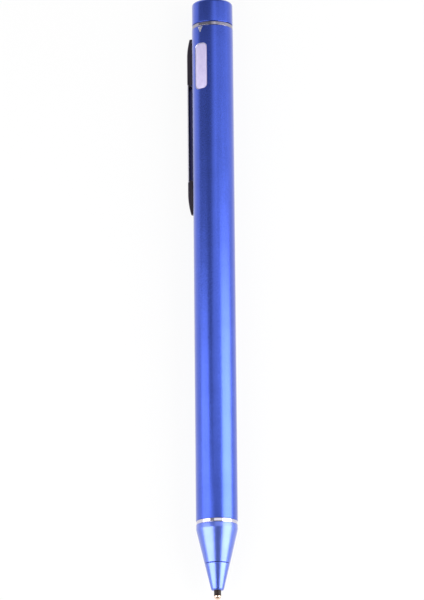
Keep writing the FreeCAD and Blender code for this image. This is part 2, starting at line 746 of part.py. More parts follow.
def make_port_housing():
    """The moulded end plug: it holds the port, closes the barrel and carries the cap."""
    outline = Outline(0, HOUSING_FRONT)
    outline.line(BORE_RADIUS - PRESS_GAP, HOUSING_FRONT)
    outline.line(BORE_RADIUS - PRESS_GAP, BARREL_REAR)
    outline.line(SPIGOT_RADIUS, BARREL_REAR)
    outline.line(SPIGOT_RADIUS, PORT_MOUTH)
    outline.line(0, PORT_MOUTH)
    plug = outline.revolved()
    plug = plug.cut(port_bar(SHELL_WALL + PRESS_GAP, HOUSING_FRONT, PORT_MOUTH))
    tail = block(BOARD_TAIL_WIDTH + 2 * PRESS_GAP, HOUSING_FRONT, BOARD_REAR + PRESS_GAP,
                 BOARD_UNDERSIDE - PRESS_GAP, BOARD_TOP)
    return plug.cut(tail)


# ---------------------------------------------------------------- board and its parts

def make_main_board():
    """The circuit board, with a narrow tail that goes under the port."""
    step = HOUSING_FRONT - PRESS_GAP
    wide = block(BOARD_WIDTH, BOARD_FRONT, step, BOARD_UNDERSIDE, BOARD_TOP)
    tail = block(BOARD_TAIL_WIDTH, step, BOARD_REAR, BOARD_UNDERSIDE, BOARD_TOP)
    return wide.fuse(tail).removeSplitter()


def chip(width, length, height, station, middle=0.0):
    """A moulded chip that stands on the board."""
    body = block(width, station - length / 2, station + length / 2, BOARD_TOP, BOARD_TOP + height, middle)
    return softened(body, height / 8)


def row_along_board(lengths):
    """Spaces pieces evenly between the drive lead's landing and the switch, and gives their middles."""
    first = BOARD_FRONT + LEAD_OVERHANG + LEAD_DESCENT + LEAD_LANDING
    last = BUTTON_Y - SWITCH_LENGTH / 2
    gap = (last - first - sum(lengths)) / (len(lengths) + 1)
    middles = []
    front = first + gap
    for length in lengths:
        middles.append(front + length / 2)
        front += length + gap
    return middles


INDUCTOR_Y, DRIVER_Y, FRONT_CAPACITORS_Y, CHARGER_Y, REAR_CAPACITORS_Y, CRYSTAL_Y = row_along_board(
    [INDUCTOR_SIZE, DRIVER_LENGTH, CAPACITOR_LENGTH, CHARGER_SIZE, CAPACITOR_LENGTH, CRYSTAL_LENGTH])


def make_drive_ic():
    """The driver chip with its legs."""
    solids = [chip(DRIVER_WIDTH, DRIVER_LENGTH, DRIVER_HEIGHT, DRIVER_Y)]
    for side in (-1, 1):
        middle = side * (DRIVER_WIDTH + DRIVER_LEG_REACH) / 2
        for index in range(DRIVER_LEGS):
            front = DRIVER_Y + (index - (DRIVER_LEGS - 1) / 2) * DRIVER_PITCH - DRIVER_LEG_WIDTH / 2
            solids.append(block(DRIVER_LEG_REACH, front, front + DRIVER_LEG_WIDTH,
                                BOARD_TOP, BOARD_TOP + DRIVER_HEIGHT / 4, middle))
    return solids[0].multiFuse(solids[1:]).removeSplitter()


def make_board_capacitors():
    """Small ceramic capacitors in pairs beside the chips."""
    capacitors = []
    for station in (FRONT_CAPACITORS_Y, REAR_CAPACITORS_Y):
        for side in (-1, 1):
            capacitors.append(block(CAPACITOR_WIDTH, station - CAPACITOR_LENGTH / 2,
                                    station + CAPACITOR_LENGTH / 2,
                                    BOARD_TOP, BOARD_TOP + CAPACITOR_HEIGHT, side * CAPACITOR_SPREAD))
    return Part.makeCompound(capacitors)


# ---------------------------------------------------------------- frame, battery and leads

def make_inner_frame():
    """The moulded tray: battery cradle in front, board ledges with hooks behind, bulkheads between."""
    rim = BOARD_TOP
    long_bar = rod(FRAME_RADIUS, FRAME_FRONT, FRAME_REAR)
    cradle = rod(BATTERY_RADIUS + RUNNING_GAP, FRAME_FRONT, REAR_BULKHEAD)
    above = block(3 * BARREL_RADIUS, FRAME_FRONT, FRAME_REAR, rim, 3 * BARREL_RADIUS)
    tray = long_bar.cut(cradle).cut(above)

    board_pocket = block(BOARD_WIDTH + 2 * RUNNING_GAP, BOARD_FRONT - PRESS_GAP, FRAME_REAR,
                         BOARD_UNDERSIDE, rim)
    trough = rod(FRAME_RADIUS - FRAME_WALL, BOARD_FRONT, FRAME_REAR).common(
        block(BOARD_WIDTH - 2 * LEDGE_WIDTH, BOARD_FRONT, FRAME_REAR, -2 * BARREL_RADIUS, rim))
    tray = tray.cut(board_pocket).cut(trough)

    bulkheads = []
    for front in (FRAME_FRONT, MIDDLE_BULKHEAD, REAR_BULKHEAD):
        wall = rod(FRAME_RADIUS, front, front + BULKHEAD_THICKNESS)
        flat = block(3 * BARREL_RADIUS, front, front + BULKHEAD_THICKNESS, BULKHEAD_TOP, 3 * BARREL_RADIUS)
        bulkheads.append(wall.cut(flat))
    tray = tray.multiFuse(bulkheads)

    half = CUP_TAIL_RADIUS + FREE_GAP
    tray = tray.cut(block(2 * half, FRAME_FRONT, FRAME_FRONT + BULKHEAD_THICKNESS, -half, half))
    half = LEAD_RADIUS + FREE_GAP
    for side in (-1, 1):
        tray = tray.cut(block(2 * half, REAR_BULKHEAD, REAR_BULKHEAD + BULKHEAD_THICKNESS,
                              LEAD_LEVEL - half, LEAD_LEVEL + half, side * LEAD_SPREAD))

    hooks = []
    spacing = (FRAME_REAR - BOARD_FRONT) / HOOK_COUNT
    inner = BOARD_WIDTH / 2 - HOOK_LIP
    for index in range(HOOK_COUNT):
        station = BOARD_FRONT + (index + 0.5) * spacing
        for side in (-1, 1):
            width = FRAME_RADIUS - inner
            post = block(width, station - HOOK_LENGTH / 2, station + HOOK_LENGTH / 2,
                         rim + PRESS_GAP, rim + PRESS_GAP + HOOK_HEIGHT, side * (inner + width / 2))
            foot_inner = BOARD_WIDTH / 2 + RUNNING_GAP
            foot_width = FRAME_RADIUS - foot_inner
            foot = block(foot_width, station - HOOK_LENGTH / 2, station + HOOK_LENGTH / 2,
                         BOARD_UNDERSIDE, rim + PRESS_GAP + HOOK_HEIGHT, side * (foot_inner + foot_width / 2))
            hooks.append(post.fuse(foot).common(rod(FRAME_RADIUS, BOARD_FRONT, FRAME_REAR)))
    tray = tray.multiFuse(hooks)
    tray = tray.cut(turned(anchor_blank(RUNNING_GAP), -BUTTON_TURN))
    return tray.removeSplitter()


def make_battery_guard():
    """The small protection board on the cell's rear end, where the leads start."""
    return block(GUARD_WIDTH, GUARD_FRONT, GUARD_FRONT + GUARD_THICKNESS,
                 -GUARD_HEIGHT / 2, GUARD_HEIGHT / 2)


def make_battery_pads():
    """Foam pads in front of the cell and behind it, the rear one below the leads."""
    behind = GUARD_FRONT + GUARD_THICKNESS
    front = block(PAD_WIDTH, BATTERY_FRONT - PAD_THICKNESS, BATTERY_FRONT, -PAD_WIDTH / 2, PAD_WIDTH / 2)
    rear = block(PAD_WIDTH, behind, behind + PAD_THICKNESS, -PAD_WIDTH / 2, 0)
    return Part.makeCompound([front, rear])


def make_battery_lead(side):
    """One battery lead, from the guard board through the bulkhead to the main board."""
    x = side * LEAD_SPREAD
    start = GUARD_FRONT + GUARD_THICKNESS
    passed = REAR_BULKHEAD + BULKHEAD_THICKNESS + FREE_GAP
    landed = BOARD_TOP + LEAD_RADIUS + PRESS_GAP
    down = passed + LEAD_DROP_LENGTH
    return wire_along([(x, start, LEAD_LEVEL), (x, passed, LEAD_LEVEL),
                       (x, down, landed), (x, down + LEAD_TAIL_LENGTH, landed)], LEAD_RADIUS)


def make_drive_lead():
    """The lead from the board over the battery to the contact cup."""
    over = (BATTERY_RADIUS + BORE_RADIUS) / 2
    landed = BOARD_TOP + DRIVE_LEAD_RADIUS + PRESS_GAP
    turn_up = FRAME_FRONT + BULKHEAD_THICKNESS + LEAD_STRAIGHT
    turn_down = BOARD_FRONT + LEAD_OVERHANG
    on_board = turn_down + LEAD_DESCENT
    return wire_along([(0, CUP_REAR + CUP_TAIL_LENGTH, 0), (0, turn_up, 0),
                       (0, MIDDLE_BULKHEAD - LEAD_CLEAR, over), (0, turn_down, over),
                       (0, on_board, landed), (0, on_board + LEAD_LANDING, landed)], DRIVE_LEAD_RADIUS)


# ---------------------------------------------------------------- the whole pen

def on_button_side(shape):
    """Turns what is drawn under the button to the button's side."""
    return turned(shape, BUTTON_ANGLE)


PIECES = {
    "nib": make_nib(),
    "nib_sleeve": make_nib_sleeve(),
    "nose_tip": make_nose_tip(),
    "nose_cone": make_nose_cone(),
    "threaded_bushing": make_threaded_bushing(),
    "contact_spring": make_contact_spring(),
    "contact_cup": make_contact_cup(),
    "front_carrier": make_front_carrier(),
    "lower_ring": make_lower_ring(),
    "barrel": make_barrel(),
    "upper_ring": make_upper_ring(),
    "end_cap": make_end_cap(),
    "cap_liner": make_cap_liner(),
    "pocket_clip": turned(make_pocket_clip(), CLIP_ANGLE),
    "clip_anchor": turned(make_clip_anchor(), CLIP_ANGLE),
    "power_button": on_button_side(make_power_button()),
    "tact_switch": on_button_side(make_tact_switch()),
    "switch_plunger": on_button_side(make_switch_plunger()),
    "indicator_led": on_button_side(chip(LED_WIDTH, LED_LENGTH, LED_HEIGHT, BUTTON_Y + LED_FROM_SWITCH)),
    "usb_shell": on_button_side(make_usb_shell()),
    "usb_tongue": on_button_side(make_usb_tongue()),
    "usb_contacts": on_button_side(make_usb_contacts()),
    "port_housing": on_button_side(make_port_housing()),
    "main_board": on_button_side(make_main_board()),
    "drive_ic": on_button_side(make_drive_ic()),
    "charge_ic": on_button_side(chip(CHARGER_SIZE, CHARGER_SIZE, CHARGER_HEIGHT, CHARGER_Y)),
    "clock_crystal": on_button_side(chip(CRYSTAL_WIDTH, CRYSTAL_LENGTH, CRYSTAL_HEIGHT, CRYSTAL_Y)),
    "boost_inductor": on_button_side(chip(INDUCTOR_SIZE, INDUCTOR_SIZE, INDUCTOR_HEIGHT, INDUCTOR_Y)),
    "board_capacitors": on_button_side(make_board_capacitors()),
    "inner_frame": on_button_side(make_inner_frame()),
    "battery_cell": rod(BATTERY_RADIUS, BATTERY_FRONT, BATTERY_REAR),
    "battery_guard": on_button_side(make_battery_guard()),
    "battery_pads": on_button_side(make_battery_pads()),
    "battery_lead_red": on_button_side(make_battery_lead(1)),
    "battery_lead_black": on_button_side(make_battery_lead(-1)),
    "drive_lead": on_button_side(make_drive_lead()),
}

whole = Part.makeCompound(list(PIECES.values())).optimalBoundingBox(False, False)
to_own_frame = Vector(-(whole.XMin + whole.XMax) / 2, -CAP_REAR / 2, BARREL_RADIUS)

os.makedirs("parts", exist_ok=True)
for name, shape in PIECES.items():
    placed = shape.copy()
    placed.translate(to_own_frame)
    placed.exportStep("parts/" + name + ".step")

print("length", round(CAP_REAR, 3), "clip turn", round(CLIP_ANGLE, 2), "button turn", round(BUTTON_ANGLE, 2))
print("moved by", [round(value, 4) for value in to_own_frame])
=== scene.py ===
# %% [markdown]
# # Dressing a blue stylus pen
#
# The pen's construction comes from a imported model, which is loaded as a fixed frame: every node is where
# it belongs, in metres, and moves with its body. This lesson gives the pen its looks. The turned pieces
# are spun again with soft edges, the barrel is spun and carved, the milled pieces are merged and eased,
# and each piece gets a material built from nodes. The pen lies on a table, on its barrel and its clip.

# %% Load the frame
import json
import math

import bmesh
import bpy
from mathutils import Matrix, Vector

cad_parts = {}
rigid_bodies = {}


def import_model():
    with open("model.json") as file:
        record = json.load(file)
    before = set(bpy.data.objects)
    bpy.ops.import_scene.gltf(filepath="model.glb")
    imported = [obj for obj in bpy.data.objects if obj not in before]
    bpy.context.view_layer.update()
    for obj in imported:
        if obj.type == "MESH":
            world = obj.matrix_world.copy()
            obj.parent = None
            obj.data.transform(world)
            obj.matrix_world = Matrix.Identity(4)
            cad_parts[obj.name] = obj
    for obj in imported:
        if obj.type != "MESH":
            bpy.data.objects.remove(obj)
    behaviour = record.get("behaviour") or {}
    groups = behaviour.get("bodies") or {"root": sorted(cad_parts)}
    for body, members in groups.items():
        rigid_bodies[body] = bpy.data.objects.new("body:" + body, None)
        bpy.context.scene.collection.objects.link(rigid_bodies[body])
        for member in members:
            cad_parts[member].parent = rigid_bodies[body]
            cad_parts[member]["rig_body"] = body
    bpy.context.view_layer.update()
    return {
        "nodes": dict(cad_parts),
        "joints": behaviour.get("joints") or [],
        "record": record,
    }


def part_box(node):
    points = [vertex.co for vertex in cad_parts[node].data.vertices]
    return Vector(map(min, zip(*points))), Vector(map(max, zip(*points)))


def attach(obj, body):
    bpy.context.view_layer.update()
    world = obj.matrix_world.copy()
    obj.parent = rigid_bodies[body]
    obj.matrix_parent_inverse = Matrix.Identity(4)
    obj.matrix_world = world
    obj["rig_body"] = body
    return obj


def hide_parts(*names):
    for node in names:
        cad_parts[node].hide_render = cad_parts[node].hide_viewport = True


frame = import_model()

# %% [markdown]
# ## Measuring the frame
#
# The pen is nine millimetres across, so its soft edges are a few hundredths of a millimetre. Blender's
# tools lose accuracy on numbers that small in metres. So each new piece is drawn in millimetres, and is
# brought down to metres at the end. Most pieces are round about one axis, which is found first: the
# barrel's height gives its radius and level, and the mount on the cap's top lies on the axis. The button
# moves along its own direction, and the clip turns about a line across its own.

# %% Axis, radii and stations
MM = 0.001
AXIS = Vector((0, 1, 0))


def span(node):
    """The stations along the pen, in millimetres, at which a node starts and ends."""
    low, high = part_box(node)
    return low.y / MM, high.y / MM


def widest(node):
    """A round node's outer radius in millimetres."""
    low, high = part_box(node)
    return (high.z - low.z) / 2 / MM


BARREL_LOW, BARREL_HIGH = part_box("barrel")
BARREL_RADIUS = widest("barrel")
CAP_MOUNT = next(mount for mount in frame["record"]["mounts"] if mount["name"] == "cap_top")
ON_AXIS = Vector((CAP_MOUNT["pos_m"][0], 0, (BARREL_LOW.z + BARREL_HIGH.z) / 2)) / MM

JOINTS = {joint["name"]: joint for joint in frame["joints"]}
BUTTON_OUT = -Vector(JOINTS["button_press"]["axis"]).normalized()
CLIP_LOW, CLIP_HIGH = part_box("pocket_clip")
CLIP_OUT = AXIS.cross(Vector(JOINTS["clip_flex"]["axis"])).normalized()
if CLIP_OUT.x * ((CLIP_LOW.x + CLIP_HIGH.x) / 2 / MM - ON_AXIS.x) < 0:
    CLIP_OUT = -CLIP_OUT

NIB_TIP, NIB_REAR = span("nib")
SLEEVE_FRONT, SLEEVE_REAR = span("nib_sleeve")
TIP_FRONT, TIP_REAR = span("nose_tip")
CONE_FRONT, CONE_REAR = span("nose_cone")
RIM_END, BARREL_FRONT = span("lower_ring")
BARREL_REAR, RING_REAR = span("upper_ring")
CAP_FRONT, CAP_REAR = span("end_cap")
CLIP_END = span("pocket_clip")[1]
print("barrel radius", round(BARREL_RADIUS, 3), "length", round(CAP_REAR - NIB_TIP, 2))
print("button side", [round(v, 3) for v in BUTTON_OUT], "clip side", [round(v, 3) for v in CLIP_OUT])

# %% [markdown]
# ## The camera
#
# The pen is seen from almost straight above, from about a metre away, so a long lens is used and the
# sides hardly converge. The camera leans toward the nib, which is why the rings show as shallow arches.
# It is also turned a little in its own view, so that the pen leans slightly to the left.

# %% Place the camera
CAMERA_DISTANCE = 1.0
CAMERA_ELEVATION = math.radians(76.5)
CAMERA_ROLL = math.radians(-0.52)
CAMERA_LENS = 277.6
CAMERA_SENSOR = 36.0
CAMERA_RANGE = (0.05, 20.0)
AIM_OFFSET = Vector((-0.62, -0.60, 0)) * MM

toward_camera = Vector((0, -math.cos(CAMERA_ELEVATION), math.sin(CAMERA_ELEVATION)))
camera_data = bpy.data.cameras.new("camera")
camera_data.lens = CAMERA_LENS
camera_data.sensor_width = CAMERA_SENSOR
camera_data.clip_start, camera_data.clip_end = CAMERA_RANGE
camera = bpy.data.objects.new("camera", camera_data)
bpy.context.scene.collection.objects.link(camera)
camera.location = ON_AXIS * MM + AIM_OFFSET + toward_camera * CAMERA_DISTANCE
camera.rotation_mode = "QUATERNION"
upright = (-toward_camera).to_track_quat("-Z", "Y")
camera.rotation_quaternion = upright @ Matrix.Rotation(CAMERA_ROLL, 3, "Z").to_quaternion()
bpy.context.scene.camera = camera
print("camera at", [round(v, 3) for v in camera.location])

# %% [markdown]
# ## Shader maths as plain expressions
#
# A material is a graph of nodes, and maths written node by node is hard to read. So one small class stands
# for a value on its way through the graph. Adding or multiplying two such values adds a Math node and
# gives back its output, and a whole pattern can be written as a line of arithmetic. A second class holds
# the graph, and adds every other node through one method.

# %% A value in a graph, and the graph
class Signal:
    """A value on its way through a node graph."""

    def __init__(self, graph, socket):
        self.graph = graph
        self.socket = socket

    def maths(self, operation, first, second):
        """Adds one Math node."""
        return self.graph.node("ShaderNodeMath", {"operation": operation}, {0: first, 1: second})

    def __add__(self, other):
        return self.maths("ADD", self, other)

    def __radd__(self, other):
        return self.maths("ADD", other, self)

    def __sub__(self, other):
        return self.maths("SUBTRACT", self, other)

    def __rsub__(self, other):
        return self.maths("SUBTRACT", other, self)

    def __mul__(self, other):
        return self.maths("MULTIPLY", self, other)

    def __rmul__(self, other):
        return self.maths("MULTIPLY", other, self)


class Graph:
    """The nodes of one material, or of the world."""

    def __init__(self, owner):
        owner.use_nodes = True
        self.tree = owner.node_tree
        self.tree.nodes.clear()

    def node(self, kind, settings=None, inputs=None, output=0):
        """Adds a node, applies its settings, then feeds its sockets with values or other outputs."""
        node = self.tree.nodes.new(kind)
        settings = dict(settings or {})
        for index, (position, colour) in enumerate(settings.pop("stops", [])):
            ramp = node.color_ramp.elements
            stop = ramp[index] if index < 2 else ramp.new(position)
            stop.position = position
            stop.color = (*colour, 1.0)
        for name, value in settings.items():
            setattr(node, name, value)
        for key, value in (inputs or {}).items():
            socket = node.inputs[key]
            if isinstance(value, Signal):
                self.tree.links.new(value.socket, socket)
            elif socket.type == "RGBA":
                socket.default_value = (*value, 1.0)
            else:
                socket.default_value = value
        return Signal(self, node.outputs[output] if node.outputs else None)


print("node methods ready")

# %% [markdown]
# ## Patterns that every finish uses
#
# Nothing real has one flat colour, so every finish starts from noise at its own scale: blasted grain is
# under a tenth of a millimetre, and a lathe leaves rings that are long round the piece and short along
# it, which is noise stretched along one axis. The noise then drives colour, roughness and a very low bump.

# %% Noise, colour mixes and the surface
NOISE_LOW = 0.3       # most of a noise texture's values lie between these two
NOISE_HIGH = 0.7


def spread(signal, low, high):
    """Spreads a noise value over a range."""
    gain = (high - low) / (NOISE_HIGH - NOISE_LOW)
    return (low - gain * NOISE_LOW) + gain * signal


class Finish(Graph):
    """A material whose patterns lie in the pen's own coordinates."""

    def __init__(self, name):
        self.material = bpy.data.materials.new(name)
        super().__init__(self.material)
        self.place = self.node("ShaderNodeTexCoord", output="Object")

    def noise(self, grain, detail=2.0, stretch=None):
        """Noise with grains about this many metres across, or with its scale multiplied per axis."""
        where = self.place
        if stretch:
            where = self.node("ShaderNodeMapping", inputs={"Vector": where, "Scale": stretch})
        inputs = {"Vector": where, "Scale": 1 / grain, "Detail": detail}
        return self.node("ShaderNodeTexNoise", inputs=inputs)

    def blend(self, amount, first, second):
        """Mixes two colours."""
        return self.node("ShaderNodeMix", {"data_type": "RGBA"}, {0: amount, 6: first, 7: second}, output=2)

    def bump(self, height, distance, strength):
        """Raises the surface by a height signal times a distance in metres."""
        return self.node("ShaderNodeBump", inputs={"Height": height, "Distance": distance,
                                                   "Strength": strength})

    def surface(self, **sockets):
        """Ends the material in one Principled surface, whose sockets are named in lower case."""
        named = {}
        for key, value in sockets.items():
            named[key.replace("_", " ").title().replace("Ior", "IOR")] = value
        shader = self.node("ShaderNodeBsdfPrincipled", inputs=named)
        self.node("ShaderNodeOutputMaterial", inputs={"Surface": shader})
        return self.material


print("pattern methods ready")

# %% [markdown]
# ## Anodised aluminium
#
# Anodising grows a clear oxide layer on the metal and dyes it. The metal under it tints what it reflects,
# and the clear layer adds a little untinted reflection, more of it at a glancing angle, which is why the
# sides of the barrel look pale. In Blender that is a metal with a coat. The barrel and cap are blasted
# with fine beads first, which makes them satin. The cone is left as turned, so it is glossier, and its
# oxide is denser, which the higher index of its coat stands for.

# %% Blue finishes
OXIDE_IOR = 1.4
DENSE_OXIDE_IOR = 1.7
BLAST_GRAIN = 0.00009          # this and the sizes below are in metres
BLAST_CLOUDS = 0.004
BLAST_RELIEF = 0.000003
DRAWN_STREAKS = 0.0008
DRAWN_STRETCH = (1.0, 0.04, 1.0)
TURNED_RINGS = 0.0006
TURNED_STRETCH = (0.02, 14.0, 0.02)
TURNED_CLOUDS = 0.003
TURNED_RELIEF = 0.0000015
CUT_LINES = 0.0002
CUT_STRETCH = (1.0, 6.0, 1.0)
SATIN_BLUES = (0.038, 0.086, 0.53), (0.058, 0.120, 0.70)
TURNED_BLUES = (0.080, 0.145, 0.66), (0.105, 0.180, 0.79)
CUT_METALS = (0.74, 0.72, 0.88), (0.88, 0.87, 0.96)


def satin_blue():
    """Blasted blue anodising, with fine grain and faint streaks along the barrel."""
    finish = Finish("satin_blue")
    grain = finish.noise(BLAST_GRAIN, detail=3.0)
    cloud = finish.noise(BLAST_CLOUDS)
    streak = finish.noise(DRAWN_STREAKS, detail=1.0, stretch=DRAWN_STRETCH)
    tone = spread(grain, 0.0, 0.4) + spread(cloud, 0.0, 0.3) + spread(streak, 0.0, 0.3)
    colour = finish.blend(tone, *SATIN_BLUES)
    return finish.surface(base_color=colour, metallic=1.0, roughness=spread(grain, 0.24, 0.32),
                          coat_weight=1.0, coat_roughness=0.27, coat_ior=OXIDE_IOR,
                          normal=finish.bump(grain, BLAST_RELIEF, 0.2))


def bright_blue():
    """Turned blue anodising on the cone, with fine rings left by the tool."""
    finish = Finish("bright_blue")
    rings = finish.noise(TURNED_RINGS, stretch=TURNED_STRETCH)
    cloud = finish.noise(TURNED_CLOUDS)
    colour = finish.blend(spread(cloud, 0.2, 0.8), *TURNED_BLUES)
    return finish.surface(base_color=colour, metallic=1.0, roughness=spread(rings, 0.28, 0.36),
                          coat_weight=1.0, coat_roughness=0.26, coat_ior=DENSE_OXIDE_IOR,
                          normal=finish.bump(rings, TURNED_RELIEF, 0.5))


def bare_edge_and_highlight():
    """Bare metal: the cut bevel round the button's slot, the engraved mark, and a painted highlight on
    edges of the clip.
    """
    finish = Finish("bare_edge_and_highlight")
    lines = finish.noise(CUT_LINES, stretch=CUT_STRETCH)
    colour = finish.blend(spread(lines, 0.0, 1.0), *CUT_METALS)
    return finish.surface(base_color=colour, metallic=1.0, roughness=spread(lines, 0.22, 0.32))


print("blue finishes defined")

# %% [markdown]
# ## Plated and plain metals
#
# The rings are plated and polished, so they show the room: white where the table and the lamps are, dark
# where the room is dark. The upper ring takes a darker copy of the ring metal, which is painted shade for
# its darker reflections. The clip's polished metal is given a very dark colour. Faint marks, stretched the
# way that each piece was polished, keep them from looking computed.

# %% Metal finishes
ROUND_MARKS = (0.05, 10.0, 0.05)
LONG_MARKS = (4.0, 0.1, 4.0)
POLISH_GRAIN = 0.0005
POLISH_RELIEF = 0.000001


def polished(name, low, high, smooth, rough, stretch, grain=POLISH_GRAIN):
    """A polished metal with faint stretched marks from its finishing."""
    finish = Finish(name)
    marks = finish.noise(grain, detail=3.0, stretch=stretch)
    colour = finish.blend(spread(marks, 0.0, 1.0), low, high)
    return finish.surface(base_color=colour, metallic=1.0, roughness=spread(marks, smooth, rough),
                          normal=finish.bump(marks, POLISH_RELIEF, 0.4))


print("metal finishes defined")

# %% [markdown]
# ## Mouldings, boards and the small things inside
#
# Plastics reflect a little white light over their own colour. A moulding has the fine grain of its
# eroded mould, a circuit board has a glossy lacquer over faint tracks, and foam is matt and open. Most of
# this shows only with the cap or the nose tip off, but a pen that comes apart should look right inside.

# %% Plastic finishes
MOULD_GRAIN = 0.00012
MOULD_RELIEF = 0.000006
MOULD_CLOUDS = 0.002
WINDOW_SPECKS = 0.00015
WINDOW_CLOUDS = 0.0012
WINDOW_RELIEF = 0.000004
WINDOW_LAVENDERS = (0.52, 0.46, 0.74), (0.66, 0.60, 0.86)
TRACKS_TO_A_METRE = 900.0
TRACK_WIDTH = 0.03
TRACK_RELIEF = 0.00001
MASK_GRAIN = 0.0004
MASK_GREENS = (0.012, 0.130, 0.050), (0.045, 0.250, 0.110)
CELLS_TO_A_METRE = 3500.0
CELL_DEPTH = 0.00008
# The darker grey is painted shade in the foam's pits.
FOAM_AND_PIT_SHADE_GREYS = (0.020, 0.020, 0.021), (0.090, 0.090, 0.092)


def moulded(name, low, high, smooth, rough, grain=MOULD_GRAIN, relief=MOULD_RELIEF, shine=0.5):
    """A moulded plastic with a fine eroded grain and slightly uneven colour."""
    finish = Finish(name)
    texture = finish.noise(grain)
    colour = finish.blend(spread(finish.noise(MOULD_CLOUDS), 0.1, 0.9), low, high)
    return finish.surface(base_color=colour, roughness=spread(texture, smooth, rough),
                          specular_ior_level=shine, normal=finish.bump(texture, relief, 0.5))


def window_plastic():
    """The frosted lavender window, a little uneven where the light guide under it is thick."""
    finish = Finish("window_plastic")
    speck = finish.noise(WINDOW_SPECKS)
    tone = spread(finish.noise(WINDOW_CLOUDS), 0.1, 0.6) + spread(speck, 0.0, 0.35)
    colour = finish.blend(tone, *WINDOW_LAVENDERS)
    return finish.surface(base_color=colour, roughness=spread(speck, 0.26, 0.36), coat_weight=0.35,
                          coat_roughness=0.15, normal=finish.bump(speck, WINDOW_RELIEF, 0.3))


def board_lacquer():
    """Green solder mask with paler tracks under it."""
    finish = Finish("board_green")
    inputs = {"Vector": finish.place, "Scale": TRACKS_TO_A_METRE, "Mortar Size": TRACK_WIDTH}
    tracks = finish.node("ShaderNodeTexBrick", {"offset": 0.5}, inputs, output="Fac")
    colour = finish.blend(tracks, *MASK_GREENS)
    return finish.surface(base_color=colour, roughness=spread(finish.noise(MASK_GRAIN), 0.24, 0.32),
                          coat_weight=0.4, coat_roughness=0.1,
                          normal=finish.bump(tracks, TRACK_RELIEF, 0.4))


def foam():
    """Open-cell foam: a matt surface with painted shade in its pits."""
    finish = Finish("foam")
    inputs = {"Vector": finish.place, "Scale": CELLS_TO_A_METRE}
    cells = finish.node("ShaderNodeTexVoronoi", inputs=inputs)
    colour = finish.blend(cells, *FOAM_AND_PIT_SHADE_GREYS)
    return finish.surface(base_color=colour, roughness=0.95, normal=finish.bump(cells, CELL_DEPTH, 0.8))


print("plastic finishes defined")

# %% [markdown]
# ## One material for each slot
#
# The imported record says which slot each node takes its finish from, so a table from slot to material
# dresses the whole pen at once. Pieces that stay as they are in the frame need nothing more.

# %% Dress every node
COPPER_GRAIN = 0.0002
FERRITE_GRAIN = 0.00008
FERRITE_RELIEF = 0.00001

MATERIALS = {
    "satin_blue": satin_blue(),
    "bright_blue": bright_blue(),
    "bright_ring": polished("bright_ring", (0.60, 0.57, 0.66), (0.72, 0.69, 0.79), 0.05, 0.11,
                            ROUND_MARKS),
    # The clip's polished metal is given a very dark colour.
    "dark_chrome": polished("dark_chrome", (0.060, 0.050, 0.075), (0.115, 0.100, 0.135), 0.12, 0.22,
                            LONG_MARKS),
    "window_plastic": window_plastic(),
    "copper": polished("copper", (0.86, 0.61, 0.46), (0.95, 0.77, 0.64), 0.10, 0.18, ROUND_MARKS,
                       COPPER_GRAIN),
    "sleeve_black": moulded("sleeve_black", (0.012, 0.006, 0.005), (0.030, 0.017, 0.014), 0.30, 0.42,
                            shine=0.2),
    "brass": polished("brass", (0.68, 0.48, 0.18), (0.84, 0.66, 0.32), 0.16, 0.28, ROUND_MARKS),
    "spring_steel": polished("spring_steel", (0.50, 0.50, 0.52), (0.66, 0.66, 0.68), 0.18, 0.30,
                             LONG_MARKS),
    "white_moulding": moulded("white_moulding", (0.70, 0.70, 0.67), (0.80, 0.80, 0.77), 0.45, 0.58),
    "black_moulding": moulded("black_moulding", (0.014, 0.014, 0.016), (0.026, 0.026, 0.029), 0.38, 0.52),
    "plunger_white": moulded("plunger_white", (0.78, 0.77, 0.72), (0.86, 0.85, 0.80), 0.25, 0.35),
    "board_green": board_lacquer(),
    "ferrite": moulded("ferrite", (0.030, 0.030, 0.032), (0.075, 0.073, 0.072), 0.55, 0.75,
                       FERRITE_GRAIN, FERRITE_RELIEF),
    "ceramic": moulded("ceramic", (0.30, 0.20, 0.12), (0.46, 0.34, 0.22), 0.40, 0.55),
    "can_metal": polished("can_metal", (0.60, 0.60, 0.60), (0.76, 0.76, 0.75), 0.18, 0.28, LONG_MARKS),
    "cell_wrap": polished("cell_wrap", (0.48, 0.52, 0.56), (0.66, 0.70, 0.74), 0.25, 0.40, LONG_MARKS),
    "foam": foam(),
    "red_insulation": moulded("red_insulation", (0.50, 0.015, 0.010), (0.66, 0.030, 0.020), 0.35, 0.45),
    "black_insulation": moulded("black_insulation", (0.012, 0.012, 0.012), (0.030, 0.030, 0.030),
                                0.35, 0.45),
    "white_insulation": moulded("white_insulation", (0.70, 0.70, 0.67), (0.82, 0.82, 0.79),
                                0.35, 0.45),
}
# Bare metal: real on the slot's bevel and the mark, a painted highlight on the clip's edges.
BARE_EDGE_AND_HIGHLIGHT = bare_edge_and_highlight()
# A darker copy of the ring metal for the upper ring: painted shade for its darker reflections.
SHADE_DARKENED_RING = polished("shade_darkened_ring", (0.30, 0.28, 0.36), (0.42, 0.40, 0.49), 0.06, 0.12, ROUND_MARKS)
SLOT_OF = {part["node"]: part["material_slot"] for part in frame["record"]["subparts"]}
for node, piece in frame["nodes"].items():
    piece.data.materials.clear()
    piece.data.materials.append(MATERIALS[SLOT_OF[node]])
print("materials", len(MATERIALS) + 1)

# %% [markdown]
# ## Spinning the turned pieces
#
# The cap, rings, cone and nib are made on a lathe, and Blender's spin does what a lathe does: it sweeps
# an outline about the axis. Real edges are never knife-sharp, and the tiny round on each is what catches
# the light. So each point of an outline carries its own corner radius, and the bevel tool, set to work on
# vertices, turns the corner into an arc before the outline is spun.

